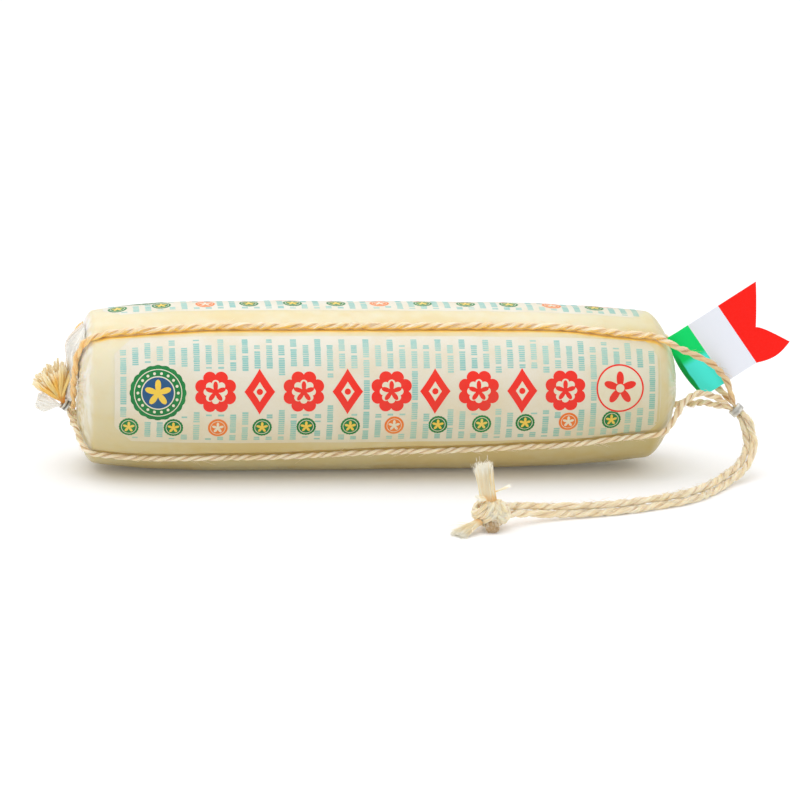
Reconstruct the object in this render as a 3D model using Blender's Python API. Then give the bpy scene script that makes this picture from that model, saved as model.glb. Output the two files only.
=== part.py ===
"""A provolone in log form: one film-wrapped log of cheese with four sisal ropes laid in grooves
along it, a crimped clip at each end, a frayed tuft, a doubled hanging loop with its knot,
and a tricolour swallowtail tag. Metres, +X along the log, +Z up, the log resting on z = 0."""

import math

import bmesh
import bpy
import numpy as np

# --- The log ---------------------------------------------------------------------------------
LEFT_END = -0.2130
RIGHT_END = 0.2175
LOG_RADIUS = 0.0600
AXIS_HEIGHT = 0.0592  # a little under the radius, so that the log stands on a flat strip
TAPER = 0.090  # share of the radius lost for each metre to the right
LEFT_DOME = 0.0125  # depth of each end's dome along the log
RIGHT_DOME = 0.0220
LEFT_DOME_POWER = 2.0  # exponent of the superellipse that rounds the end
RIGHT_DOME_POWER = 1.73
LEFT_NARROWING = 0.155  # share of the radius lost towards the end, and how late it begins
LEFT_NARROWING_POWER = 5.0
RIGHT_NARROWING = 0.155
RIGHT_NARROWING_POWER = 3.5
DIMPLE_DEPTH = 0.0030  # where the film is drawn together under the left clip
DIMPLE_RADIUS = 0.025
BODY_RINGS = 17
DOME_RINGS = 6
COLUMNS_BETWEEN_ROPES = 7

# --- The ropes -------------------------------------------------------------------------------
ROPE_RADIUS = 0.0025
ROPE_LIFT = 0.0011  # height of a rope's centre over the cheese where it is sunk in its groove
FREE_LIFT = 0.0033  # the same height where the rope lies on the cheese without a groove
SINKING = (0.0480, 0.0555)  # radii of the log between which a rope sinks into its groove
GROOVE_RADIUS = 0.0034
GROOVE_STEPS = (-0.0032, -0.0020, 0.0, 0.0020, 0.0032)  # distances of its columns from its middle
WIDEST_STEP = math.radians(28)  # limit of the groove's half-width near the log's axis
ROPE_STEP = 0.0190  # spacing of the points of a rope along the log
DOME_STEP = 0.0044  # the same over the domes and into the left clip
SPAN_STEP = 0.0060  # and where a rope runs free to the right clip
LOOP_STEP = 0.0105
SHOULDER_MARGIN = 0.012  # length of log beside each dome that takes the close spacing too
GAP = 0.0003

# Angle of each rope round the log, in degrees from the front (-Y) up, at these places along it.
ROPE_STATIONS = (-0.213, -0.190, -0.100, 0.025, 0.120, 0.190, 0.213)
ROPE_ANGLES = {
    "rope_front_upper": (49.0, 54.5, 56.6, 56.9, 57.8, 53.0, 49.0),
    "rope_back_upper": (134.0, 141.0, 145.0, 146.0, 146.0, 141.0, 137.0),
    "rope_back_lower": (-136.0, -130.0, -127.0, -126.0, -127.0, -132.0, -136.0),
    "rope_front_lower": (-45.0, -46.0, -41.8, -36.2, -33.3, -28.0, -26.0),
}

# --- The clips -------------------------------------------------------------------------------
CLIP_BORE = 0.00415
LEFT_CLIP_OUTER = 0.0049
RIGHT_CLIP_OUTER = 0.0053
LEFT_CLIP_HALF = 0.0022
RIGHT_CLIP_HALF = 0.0027
CLIP_SIDES = 18
CLIP_OUTER_RIM = 0.45  # how far its rims are rounded, as a share of its wall
CLIP_INNER_RIM = 0.4  # and how much of that rounding its bore takes
MOUTH = 0.0008  # distance from a clip's rim to the last point of a rope outside it
LEFT_CLIP = np.array([-0.2202, -0.0060, 0.0478])
LEFT_CLIP_AXIS = np.array([-0.84, -0.12, 0.53])  # the way the tuft leaves
RIGHT_CLIP = np.array([0.2612, -0.0120, 0.0428])
RIGHT_CLIP_AXIS = np.array([0.74, -0.12, -0.66])  # the way the hanging loop leaves
PINCHED_ROPE = 0.56  # share of a rope's radius left inside a clip, four ropes together
PINCHED_LOOP = 0.74  # the same with two ropes
PINCH_FROM = 0.0056  # distance from a clip's middle at which a rope begins to swell again
PINCH_REACH = 0.0080  # and the length over which it does
PINCHED_ROPE_OFFSET = 0.00164
PINCHED_LOOP_OFFSET = 0.00200

# --- The hanging loop and its knot -----------------------------------------------------------
# The middle line of the two ropes, from the clip down to the table and along it to the knot.
LOOP_ROUTE = (
    (0.2647, -0.0135, 0.0395),
    (0.2674, -0.0160, 0.0356),
    (0.2690, -0.0200, 0.0300),
    (0.2696, -0.0260, 0.0234),
    (0.2677, -0.0330, 0.0178),
    (0.2633, -0.0420, 0.0128),
    (0.2564, -0.0520, 0.0089),
    (0.2475, -0.0615, 0.0060),
    (0.2340, -0.0810, 0.0048),
    (0.2171, -0.1009, 0.0048),
    (0.2029, -0.1124, 0.0048),
    (0.1858, -0.1212, 0.0048),
    (0.1651, -0.1311, 0.0048),
    (0.1429, -0.1383, 0.0050),
    (0.1212, -0.1440, 0.0058),
    (0.1040, -0.1490, 0.0072),
    (0.0900, -0.1545, 0.0094),
    (0.0760, -0.1618, 0.0112),
)
LOOP_HALF_PITCH = 0.00266  # half the distance between the two ropes' centres
LOOP_LEAN = math.radians(55)  # how steeply one rope lies over the other

KNOT = np.array([0.0627, -0.1688, 0.0120])
KNOT_RADII = np.array([0.0141, 0.0110, 0.0106])
KNOT_WRAPS = 5  # ridges of rope wound round the knot
KNOT_RIDGE = 0.055  # their height, as a share of the radius
KNOT_LEAN = 3.0  # how far a ridge turns from one end of the knot to the other, in radians
KNOT_ROWS = 13
KNOT_COLUMNS = 22

# --- Bundles of fibre and film: routes from a starting point, half widths and half depths ------
FLUTE = 0.10  # height of the flutes at a loose end, as a share of the bundle
FLUTE_TWIST = 2.0  # how far they turn along it, in radians
TUFT_ROUTE = ((-0.0062, -0.0010, 0.0078), (-0.0092, -0.0016, 0.0160), (-0.0125, -0.0024, 0.0270))
TUFT_WIDTHS = (0.0052, 0.0090, 0.0122)
TUFT_DEPTHS = (0.0042, 0.0058, 0.0066)
TUFT_RINGS = 9
FILM_ROUTE = (
    (-0.0052, -0.0026, -0.0030),
    (-0.0098, -0.0036, -0.0018),
    (-0.0144, -0.0041, 0.0012),
    (-0.0190, -0.0045, 0.0052),
)
FILM_WIDTHS = (0.0010, 0.0034, 0.0054, 0.0040)
FILM_DEPTHS = (0.0005, 0.0007, 0.0007, 0.0005)
BRUSH_START = (-0.0022, 0.0010, 0.0112)
BRUSH_ROUTE = ((0.0, 0.0, 0.0), (-0.0020, 0.0004, 0.0110), (-0.0040, 0.0008, 0.0228))
BRUSH_WIDTHS = (0.0056, 0.0062, 0.0060, 0.0062)
BRUSH_DEPTHS = (0.0046, 0.0052, 0.0050, 0.0048)
TAIL_START = (-0.0108, -0.0080, -0.0040)
TAIL_ROUTE = ((0.0, 0.0, 0.0), (-0.0050, -0.0046, -0.0036), (-0.0112, -0.0088, -0.0059))
TAIL_WIDTHS = (0.0028, 0.0040, 0.0056)
TAIL_DEPTHS = (0.0022, 0.0021, 0.0018)
STUB_START = (-0.0006, -0.0100, -0.0076)
STUB_ROUTE = ((0.0, 0.0, 0.0), (0.0001, -0.0012, -0.0004), (0.0002, -0.0024, -0.0008))
STUB_WIDTHS = (0.0040, 0.0042, 0.0040)
STUB_DEPTHS = (0.0026, 0.0028, 0.0026)

# --- The tag ---------------------------------------------------------------------------------
TAG_THICKNESS = 0.0006
TAG_PINCH = np.array([0.2500, -0.0115, 0.0664])  # where the ropes hold it
TAG_PINCH_ALONG = 0.0150  # the same point measured on the tag, from its top edge's start
TAG_PINCH_ACROSS = 0.0460
TAG_RISE = math.radians(36)  # how steeply it points up
TAG_TURN = math.radians(12)  # how far it is turned from facing the front
TAG_WIDTH = 0.0500
TAG_TIP = 0.0742
TAG_LOW_TIP = 0.0702
TAG_NOTCH = 0.0558
TAG_NOTCH_ACROSS = 0.0270
TAG_HOIST = -0.0082  # its rounded left edge, at the middle and how far the corners fall back
TAG_HOIST_CORNER = 0.0062
TAG_BELLY = 0.0032  # how far the lower edge bulges near the tip
TAG_BELLY_FROM = 0.0418  # and where that begins
TAG_CURL_FROM = 0.0090
TAG_CURL_RADIUS = 0.0300
TAG_STEPS_ACROSS = 10
TAG_STEPS_ALONG = 12

# --- Colours, as (red, green, blue), roughness and metallic -----------------------------------
FINISHES = {
    "cheese": ((0.87, 0.77, 0.52), 0.30, 0.0),
    "sisal": ((0.74, 0.56, 0.33), 0.85, 0.0),
    "fibre": ((0.86, 0.64, 0.30), 0.80, 0.0),
    "clip_metal": ((0.42, 0.43, 0.42), 0.35, 1.0),
    "film": ((0.86, 0.88, 0.86), 0.20, 0.0),
    "tag_plastic": ((0.90, 0.10, 0.06), 0.35, 0.0),
}


def unit(vector):
    vector = np.asarray(vector, float)
    return vector / np.linalg.norm(vector)


# --- Materials and meshes ----------------------------------------------------------------------
def clear_scene():
    for obj in list(bpy.data.objects):
        bpy.data.objects.remove(obj, do_unlink=True)


def finish(name):
    """The Principled material of this name, made once."""
    if name in bpy.data.materials:
        return bpy.data.materials[name]
    colour, roughness, metallic = FINISHES[name]
    material = bpy.data.materials.new(name)
    material.use_nodes = True
    shader = material.node_tree.nodes["Principled BSDF"]
    shader.inputs["Base Color"].default_value = (*colour, 1.0)
    shader.inputs["Roughness"].default_value = roughness
    shader.inputs["Metallic"].default_value = metallic
    return material


def add_object(name, data, material):
    obj = bpy.data.objects.new(name, data)
    data.materials.append(finish(material))
    bpy.context.scene.collection.objects.link(obj)
    return obj


def band(mesh, rings):
    """Add rings of points to a mesh, joined by quads from each ring to the next."""
    rows = [[mesh.verts.new(point) for point in ring] for ring in rings]
    count = len(rows[0])
    for row, following in zip(rows, rows[1:]):
        for i in range(count):
            j = (i + 1) % count
            mesh.faces.new((row[i], row[j], following[j], following[i]))
    return rows


def write(name, mesh, material, sharp):
    """Make the object of a closed mesh, its faces turned outwards and its sharp edges kept."""
    bmesh.ops.recalc_face_normals(mesh, faces=mesh.faces)
    data = bpy.data.meshes.new(name)
    mesh.to_mesh(data)
    mesh.free()
    data.shade_smooth()
    data.set_sharp_from_angle(angle=math.radians(sharp))
    return add_object(name, data, material)


def skin(name, rings, material, tips=(None, None), sharp=40.0):
    """One closed body through rings of points, each end closed by a fan round its tip or its middle."""
    rings = [np.asarray(ring, float) for ring in rings]
    mesh = bmesh.new()
    rows = band(mesh, rings)
    for row, ring, tip in ((rows[0], rings[0], tips[0]), (rows[-1], rings[-1], tips[1])):
        middle = mesh.verts.new(ring.mean(axis=0) if tip is None else tip)
        for corner, following in zip(row, row[1:] + row[:1]):
            mesh.faces.new((corner, following, middle))
    return write(name, mesh, material, sharp)


def smooth_route(points, step):
    """Points about a step apart on the smooth curve (Catmull-Rom) through a route's own points."""
    points = np.asarray(points, float)
    padded = np.vstack([2 * points[0] - points[1], points, 2 * points[-1] - points[-2]])
    dense = []
    for before, start, end, after in zip(padded, padded[1:], padded[2:], padded[3:]):
        t = np.linspace(0.0, 1.0, 24, endpoint=False)[:, None]
        dense.append(
            0.5
            * (
                2 * start
                + (end - before) * t
                + (2 * before - 5 * start + 4 * end - after) * t**2
                + (3 * start - before - 3 * end + after) * t**3
            )
        )
    dense = np.vstack([*dense, points[-1:]])
    travelled = np.concatenate([[0.0], np.cumsum(np.linalg.norm(np.diff(dense, axis=0), axis=1))])
    places = np.linspace(0.0, travelled[-1], max(2, round(travelled[-1] / step) + 1))
    return np.stack([np.interp(places, travelled, dense[:, k]) for k in range(3)], axis=1)


def tube(name, points, scales):
    """A rope as a round tube with closed ends, thinner where it is pinched."""
    curve = bpy.data.curves.new(name, "CURVE")
    curve.dimensions = "3D"
    curve.bevel_depth = ROPE_RADIUS
    curve.bevel_resolution = 2
    curve.use_fill_caps = True
    spline = curve.splines.new("POLY")
    spline.points.add(len(points) - 1)
    for target, point, scale in zip(spline.points, points, scales):
        target.co = (*point, 1.0)
        target.radius = scale
    spline.use_smooth = True
    return add_object(name, curve, "sisal")


# --- The cheese --------------------------------------------------------------------------------
def body_radius(x):
    """Radius of the log away from its domes: a barrel that narrows late on the left, early on the right."""
    left = 1 - LEFT_NARROWING * np.maximum(x / LEFT_END, 0) ** LEFT_NARROWING_POWER
    right = 1 - RIGHT_NARROWING * np.maximum(x / RIGHT_END, 0) ** RIGHT_NARROWING_POWER
    return LOG_RADIUS * left * right * (1 - TAPER * x)


def dome(end, depth, power, count):
    """Points of one rounded end from its shoulder to its tip: (x, radius), a superellipse on the barrel."""
    angle = np.linspace(0.0, math.pi / 2, count)
    x = end - math.copysign(depth, end) * (1 - np.sin(angle) ** (2 / power))
    radius = body_radius(x) * np.cos(angle) ** (2 / power)
    radius[-1] = 0.0
    if end < 0:
        x = x + DIMPLE_DEPTH * np.clip(1 - (radius / DIMPLE_RADIUS) ** 2, 0, 1) ** 2
    return np.stack([x, radius], axis=1)


def log_profile(body_count, dome_count):
    """The log's outline over its axis, left tip to right tip."""
    left = dome(LEFT_END, LEFT_DOME, LEFT_DOME_POWER, dome_count)[::-1]
    right = dome(RIGHT_END, RIGHT_DOME, RIGHT_DOME_POWER, dome_count)
    even = np.linspace(-1.0, 1.0, body_count)[1:-1]
    crowded = 0.5 * even + 0.5 * np.sin(math.pi / 2 * even)  # closer together near the shoulders
    x = np.interp(crowded, (-1.0, 1.0), (LEFT_END + LEFT_DOME, RIGHT_END - RIGHT_DOME))
    return np.vstack([left, np.stack([x, body_radius(x)], axis=1), right])


def outward_normals(profile):
    """The profile's normals in its own plane, away from the axis."""
    slope = np.gradient(profile, axis=0)
    normal = np.stack([-slope[:, 1], slope[:, 0]], axis=1)
    return normal / np.linalg.norm(normal, axis=1, keepdims=True)


def rope_angle(name, x):
    """A rope's angle round the log at x, in radians, eased between its stations."""
    place = np.interp(x, ROPE_STATIONS, range(len(ROPE_STATIONS)))
    whole = np.minimum(place.astype(int), len(ROPE_STATIONS) - 2)
    part = place - whole
    eased = part * part * (3 - 2 * part)
    angles = np.radians(ROPE_ANGLES[name])
    return angles[whole] * (1 - eased) + angles[whole + 1] * eased


def rope_lift(radius):
    """How high a rope's centre lies over the cheese: sunk in its groove on the barrel, free on the domes."""
    return np.interp(radius, SINKING, (FREE_LIFT, ROPE_LIFT))


def around(x, radius, angle):
    """World point at this distance from the log's axis and this angle from the front up."""
    return np.stack(
        np.broadcast_arrays(
            x, -radius * np.cos(angle), AXIS_HEIGHT + radius * np.sin(angle)
        ),
        axis=-1,
    )


def ring_of_log(x, radius, normal):
    """One ring of the log's skin: columns in each groove, and even columns between the grooves."""
    names = sorted(ROPE_ANGLES, key=lambda name: float(rope_angle(name, np.array(x))))
    middles = [float(rope_angle(name, np.array(x))) for name in names]
    steps = np.clip(np.array(GROOVE_STEPS) / radius, -WIDEST_STEP, WIDEST_STEP)
    lift = rope_lift(radius)
    cut = np.sqrt(np.maximum(GROOVE_RADIUS**2 - np.array(GROOVE_STEPS) ** 2, 0.0)) - lift
    depth = np.maximum(cut, 0.0)
    angles, depths = [], []
    for middle, following in zip(middles, middles[1:] + [middles[0] + 2 * math.pi]):
        angles.extend(middle + steps)
        depths.extend(depth)
        gap = np.linspace(middle + steps[-1], following + steps[0], COLUMNS_BETWEEN_ROPES + 2)
        angles.extend(gap[1:-1])
        depths.extend([0.0] * COLUMNS_BETWEEN_ROPES)
    angles, depths = np.array(angles), np.array(depths)
    points = around(x - normal[0] * depths, radius - normal[1] * depths, angles)
    points[:, 2] = np.maximum(points[:, 2], 0.0)
    return points


def make_log():
    profile = log_profile(BODY_RINGS + 2, DOME_RINGS + 1)
    normals = outward_normals(profile)
    rings = [ring_of_log(*p, n) for p, n in zip(profile[1:-1], normals[1:-1])]
    tips = tuple(around(profile[k, 0], 0.0, 0.0) for k in (0, -1))
    return skin("cheese_log", rings, "cheese", tips)


# --- The ropes along the log -------------------------------------------------------------------
def clip_frame(axis):
    """Unit vectors of a clip: its axis, the way towards the front, and the way across both."""
    along = unit(axis)
    front = unit(np.array([0.0, -1.0, 0.0]) + along[1] * along)
    return along, front, np.cross(front, along)


LEFT_ALONG, LEFT_FRONT, LEFT_ACROSS = clip_frame(LEFT_CLIP_AXIS)
RIGHT_ALONG, RIGHT_FRONT, RIGHT_ACROSS = clip_frame(RIGHT_CLIP_AXIS)

# Free stretches of the ropes, chosen by hand: from the log's domes to the clips' mouths.
FREE_RIGHT = {
    "rope_front_upper": (
        (0.2146, -0.0280, 0.0926),
        (0.2272, -0.0235, 0.0863),
        (0.2400, -0.0195, 0.0793),
        (0.2473, -0.0172, 0.0722),
        (0.2530, -0.0163, 0.0646),
        (0.2560, -0.0152, 0.0560),
    ),
    "rope_back_upper": (
        (0.2150, 0.0230, 0.0870),
        (0.2260, 0.0155, 0.0790),
        (0.2370, 0.0060, 0.0695),
        (0.2450, -0.0035, 0.0610),
        (0.2522, -0.0080, 0.0545),
    ),
    "rope_front_lower": (
        (0.2120, -0.0360, 0.0434),
        (0.2180, -0.0318, 0.0524),
        (0.2238, -0.0282, 0.0566),
        (0.2318, -0.0237, 0.0584),
        (0.2394, -0.0203, 0.0562),
        (0.2480, -0.0168, 0.0522),
    ),
    "rope_back_lower": (
        (0.2160, 0.0240, 0.0350),
        (0.2230, 0.0120, 0.0415),
        (0.2304, -0.0030, 0.0454),
        (0.2372, -0.0098, 0.0480),
        (0.2458, -0.0120, 0.0468),
    ),
}
FREE_LEFT = {
    "rope_front_upper": (
        (-0.2144, -0.0222, 0.0745),
        (-0.2150, -0.0160, 0.0625),
        (-0.2147, -0.0119, 0.0530),
        (-0.2149, -0.0096, 0.0458),
    ),
    "rope_back_upper": (
        (-0.2144, 0.0160, 0.0740),
        (-0.2150, 0.0080, 0.0640),
        (-0.2152, 0.0010, 0.0540),
        (-0.2152, -0.0026, 0.0470),
    ),
    "rope_front_lower": (
        (-0.2150, -0.0190, 0.0365),
        (-0.2164, -0.0120, 0.0398),
    ),
    "rope_back_lower": (
        (-0.2150, 0.0110, 0.0365),
        (-0.2164, 0.0010, 0.0398),
    ),
}
LEAVES_LEFT_AT = {  # radius of the left dome at which a rope lets go of it
    "rope_front_upper": 0.0330,
    "rope_back_upper": 0.0300,
    "rope_front_lower": 0.0330,
    "rope_back_lower": 0.0300,
}
LEAVES_RIGHT_AT = {
    "rope_front_upper": 0.0480,
    "rope_back_upper": 0.0480,
    "rope_front_lower": 0.0435,
    "rope_back_lower": 0.0480,
}


def pinched_offsets(front, across, upper_side):
    """Where each rope's centre lies inside a clip, front and back, upper and lower."""
    corner = PINCHED_ROPE_OFFSET
    return {
        "rope_front_upper": corner * (front + upper_side * across),
        "rope_back_upper": corner * (-front + upper_side * across),
        "rope_front_lower": corner * (front - upper_side * across),
        "rope_back_lower": corner * (-front - upper_side * across),
    }


def on_log(name):
    """Centres of a rope where it lies on the log, at close steps along the profile."""
    profile = log_profile(60, 30)
    normals = outward_normals(profile)
    left_end = np.argmax(profile[:, 1] > LEAVES_LEFT_AT[name])
    right_end = len(profile) - 1 - np.argmax(profile[::-1, 1] > LEAVES_RIGHT_AT[name])
    x, radius = profile[left_end : right_end + 1].T
    nx, nr = normals[left_end : right_end + 1].T
    lift = rope_lift(radius)
    return around(x + nx * lift, radius + nr * lift, rope_angle(name, x))


def clip_entry(clip, along, half, offset):
    """The last points of a rope: in front of the clip's mouth, and in its middle."""
    mouth = clip - along * (half + MOUTH) + offset
    middle = clip - along * GAP + offset
    return [mouth, middle]


def pinch(points, clip, share):
    """Radius scale along a rope, easing down to its share inside a clip."""
    away = np.linalg.norm(points - clip, axis=1)
    return np.interp(away, (PINCH_FROM, PINCH_FROM + PINCH_REACH), (share, 1.0))


def make_ropes():
    lefts = pinched_offsets(LEFT_FRONT, LEFT_ACROSS, -1)
    rights = pinched_offsets(RIGHT_FRONT, RIGHT_ACROSS, 1)
    for name in ROPE_ANGLES:
        start = clip_entry(LEFT_CLIP, LEFT_ALONG, LEFT_CLIP_HALF, lefts[name])
        end = clip_entry(RIGHT_CLIP, RIGHT_ALONG, RIGHT_CLIP_HALF, rights[name])
        surface = on_log(name)
        first = np.argmax(surface[:, 0] > LEFT_END + LEFT_DOME + SHOULDER_MARGIN)
        last = np.argmax(surface[:, 0] > RIGHT_END - RIGHT_DOME - SHOULDER_MARGIN)
        left = [start[0], *FREE_LEFT[name][::-1], *surface[:first:2], surface[first]]
        right = [surface[-1], *FREE_RIGHT[name], end[0]]
        stretches = (
            start[1:],
            smooth_route(left, DOME_STEP)[:-1],
            smooth_route(surface[first : last + 1], ROPE_STEP),
            smooth_route(surface[last:], DOME_STEP)[1:-1],
            smooth_route(right, SPAN_STEP),
            end[1:],
        )
        points = np.vstack(stretches)
        scales = pinch(points, LEFT_CLIP, PINCHED_ROPE) * pinch(points, RIGHT_CLIP, PINCHED_ROPE)
        tube(name, points, scales)


# --- Clips -------------------------------------------------------------------------------------
def make_clip(name, centre, frame, outer, half):
    """A crimped sleeve: a turned ring with rounded rims."""
    along, front, across = frame
    rim = (outer - CLIP_BORE) * CLIP_OUTER_RIM
    inner_rim = rim * CLIP_INNER_RIM
    outline = [
        (-half, CLIP_BORE + rim),
        (-half + rim, outer),
        (half - rim, outer),
        (half, CLIP_BORE + rim),
        (half - inner_rim, CLIP_BORE),
        (-half + inner_rim, CLIP_BORE),
    ]
    rings = []
    for angle in np.linspace(0.0, 2 * math.pi, CLIP_SIDES, endpoint=False):
        out = math.cos(angle) * front + math.sin(angle) * across
        rings.append([centre + along * place + out * radius for place, radius in outline])
    mesh = bmesh.new()
    rows = band(mesh, rings)
    count = len(outline)
    for j in range(count):
        k = (j + 1) % count
        mesh.faces.new((rows[-1][j], rows[-1][k], rows[0][k], rows[0][j]))
    return write(name, mesh, "clip_metal", sharp=50.0)


# --- Bundles of fibre ----------------------------------------------------------------------------
def bundle(name, route, widths, depths, flutes, material, facing=(0.0, -1.0, 0.0), sides=16, rings=7):
    """A bundle lofted along a route: oval sections, fluted more and more towards its loose end."""
    route = smooth_route(route, 0.0002)
    places = np.linspace(0.0, 1.0, rings)
    shares = np.linspace(0.0, 1.0, len(route))
    centres = np.stack([np.interp(places, shares, route[:, k]) for k in range(3)], axis=1)
    along = np.gradient(centres, axis=0)
    along /= np.linalg.norm(along, axis=1, keepdims=True)
    stations = np.linspace(0.0, 1.0, len(widths))
    angle = np.linspace(0.0, 2 * math.pi, sides, endpoint=False)
    sections = []
    for place, centre, way in zip(places, centres, along):
        front = unit(np.array(facing) - np.dot(facing, way) * way)
        side = np.cross(way, front)
        half_width = np.interp(place, stations, widths)
        half_depth = np.interp(place, stations, depths)
        ripple = 1 + FLUTE * place * np.cos(flutes * angle + FLUTE_TWIST * place)
        out = np.cos(angle)[:, None] * side * half_width + np.sin(angle)[:, None] * front * half_depth
        sections.append(centre + out * ripple[:, None])
    return skin(name, sections, material, sharp=60.0)


def from_point(start, route):
    """A route's points moved to begin from a starting point."""
    return [np.asarray(start, float) + np.array(point) for point in route]


def make_left_tuft():
    """The tuft, filling the left clip's bore from its middle on and then fanning out."""
    stem = CLIP_BORE - GAP
    mouth = LEFT_CLIP + LEFT_ALONG * GAP
    rim = LEFT_CLIP + LEFT_ALONG * (LEFT_CLIP_HALF + 2 * GAP)
    route = [mouth, rim, *from_point(LEFT_CLIP, TUFT_ROUTE)]
    widths, depths = (stem, stem, *TUFT_WIDTHS), (stem, stem, *TUFT_DEPTHS)
    bundle("tuft_left", route, widths, depths, 6, "fibre", rings=TUFT_RINGS)


def make_film_tail():
    """The short end of the film that comes out of the left clip below the tuft."""
    route = from_point(LEFT_CLIP, FILM_ROUTE)
    bundle("film_tail", route, FILM_WIDTHS, FILM_DEPTHS, 3, "film", sides=14, rings=6)


# --- The hanging loop ------------------------------------------------------------------------------
def loop_offsets(route):
    """For each point of the loop's middle line, the way from the outer rope to the inner one."""
    along = np.gradient(route, axis=0)
    along /= np.linalg.norm(along, axis=1, keepdims=True)
    back = np.array([0.0, 1.0, 0.0]) - along * along[:, 1:2]
    back /= np.linalg.norm(back, axis=1, keepdims=True)
    inner = np.cross(back, along)
    return inner * math.sin(LOOP_LEAN) + back * math.cos(LOOP_LEAN)


def make_loop():
    """Two ropes side by side, the inner one lying over the outer one along the table."""
    start = RIGHT_CLIP + RIGHT_ALONG * GAP
    mouth = RIGHT_CLIP + RIGHT_ALONG * (RIGHT_CLIP_HALF + 0.0010)
    route = np.vstack([start, smooth_route([mouth, *LOOP_ROUTE], LOOP_STEP)])
    away = np.linalg.norm(route - RIGHT_CLIP, axis=1)
    spread = np.interp(away, (0.004, 0.013), (PINCHED_LOOP_OFFSET, LOOP_HALF_PITCH))
    offset = loop_offsets(route) * spread[:, None]
    scales = pinch(route, RIGHT_CLIP, PINCHED_LOOP)
    tube("loop_rope_inner", route + offset, scales)
    tube("loop_rope_outer", route - offset, scales)


def make_knot():
    """An overhand knot drawn tight: a rounded body wound with ridges of rope."""
    rings = []
    turn = np.linspace(0.0, 2 * math.pi, KNOT_COLUMNS, endpoint=False)
    for polar in np.linspace(0.0, math.pi, KNOT_ROWS + 2)[1:-1]:
        wound = np.cos(KNOT_WRAPS * turn / 2 + KNOT_LEAN * polar) ** 2
        swell = 1 - KNOT_RIDGE + KNOT_RIDGE * wound * math.sin(polar)
        direction = np.stack(
            [
                np.full_like(turn, -math.cos(polar)),
                math.sin(polar) * np.cos(turn),
                math.sin(polar) * np.sin(turn),
            ],
            axis=1,
        )
        ring = KNOT + direction * KNOT_RADII * swell[:, None]
        ring[:, 2] = np.maximum(ring[:, 2], GAP)
        rings.append(ring)
    reach = np.array([KNOT_RADII[0] * (1 - KNOT_RIDGE), 0.0, 0.0])
    return skin("loop_knot", rings, "sisal", (KNOT - reach, KNOT + reach))


def make_knot_ends():
    """What comes out of the knot: a tuft standing up, a frayed tail on the table and a cut stub."""
    up = (0.0, 0.0, 1.0)
    brush = from_point(KNOT + np.array(BRUSH_START), BRUSH_ROUTE)
    bundle("knot_tuft", brush, BRUSH_WIDTHS, BRUSH_DEPTHS, 7, "fibre")
    tail = from_point(KNOT + np.array(TAIL_START), TAIL_ROUTE)
    bundle("knot_tail", tail, TAIL_WIDTHS, TAIL_DEPTHS, 5, "fibre", facing=up, rings=5)
    stub = from_point(KNOT + np.array(STUB_START), STUB_ROUTE)
    bundle("knot_stub", stub, STUB_WIDTHS, STUB_DEPTHS, 4, "sisal", facing=up, sides=12, rings=4)


# --- The tag -----------------------------------------------------------------------------------------
def tag_start(across):
    """The rounded left edge of the tag."""
    middle = 0.57 * TAG_WIDTH
    return TAG_HOIST + TAG_HOIST_CORNER * ((across - middle) / middle) ** 2


def tag_end(across):
    """The swallowtail: an upper lobe, the notch and a lower lobe, each edge a slow curve."""
    upper = across / TAG_NOTCH_ACROSS
    lower = (across - TAG_NOTCH_ACROSS) / (TAG_WIDTH - TAG_NOTCH_ACROSS)
    first = TAG_TIP + (TAG_NOTCH - TAG_TIP) * (0.85 * upper + 0.15 * upper**2)
    second = TAG_NOTCH + (TAG_LOW_TIP - TAG_NOTCH) * np.clip(lower, 0, 1) ** 0.72
    return np.where(across < TAG_NOTCH_ACROSS, first, second)


def tag_point(along, across, side):
    """World point of the tag's sheet, curled back towards its left edge."""
    curled = np.maximum(TAG_CURL_FROM - along, 0.0) / TAG_CURL_RADIUS
    flat = np.maximum(along, TAG_CURL_FROM) - TAG_CURL_RADIUS * np.sin(curled)
    back = TAG_CURL_RADIUS * (1 - np.cos(curled))
    way = np.array([math.cos(TAG_TURN), -math.sin(TAG_TURN), 0.0])
    up = np.array([0.0, 0.0, 1.0])
    normal = np.array([-math.sin(TAG_TURN), -math.cos(TAG_TURN), 0.0])
    u = way * math.cos(TAG_RISE) + up * math.sin(TAG_RISE)
    v = way * math.sin(TAG_RISE) - up * math.cos(TAG_RISE)
    lift = side * TAG_THICKNESS / 2 - back
    return (
        TAG_PINCH
        + (flat - TAG_PINCH_ALONG)[:, None] * u
        + (across - TAG_PINCH_ACROSS)[:, None] * v
        + lift[:, None] * normal
    )


def make_tag():
    """The tag as a thin plate: rings across it from its left edge to its swallowtail."""
    shares = np.linspace(0.0, 1.0, TAG_STEPS_ACROSS + 1)
    notch = TAG_NOTCH_ACROSS / TAG_WIDTH
    shares[np.argmin(np.abs(shares - notch))] = notch
    rings = []
    for share in np.linspace(0.0, 1.0, TAG_STEPS_ALONG + 1):
        across = shares * TAG_WIDTH
        along = tag_start(across) + share * (tag_end(across) - tag_start(across))
        swing = np.clip((along - TAG_BELLY_FROM) / (TAG_LOW_TIP - TAG_BELLY_FROM), 0, 1)
        across = across + TAG_BELLY * np.sin(math.pi * swing) * shares**2
        front = tag_point(along, across, np.full_like(along, 1.0))
        rear = tag_point(along, across, np.full_like(along, -1.0))
        rings.append(np.vstack([front, rear[::-1]]))
    mesh = bmesh.new()
    rows = band(mesh, rings)
    last = len(rows[0]) - 1
    for row in (rows[0], rows[-1]):
        for i in range(TAG_STEPS_ACROSS):
            mesh.faces.new((row[i], row[i + 1], row[last - 1 - i], row[last - i]))
    return write("tag", mesh, "tag_plastic", sharp=50.0)


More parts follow.
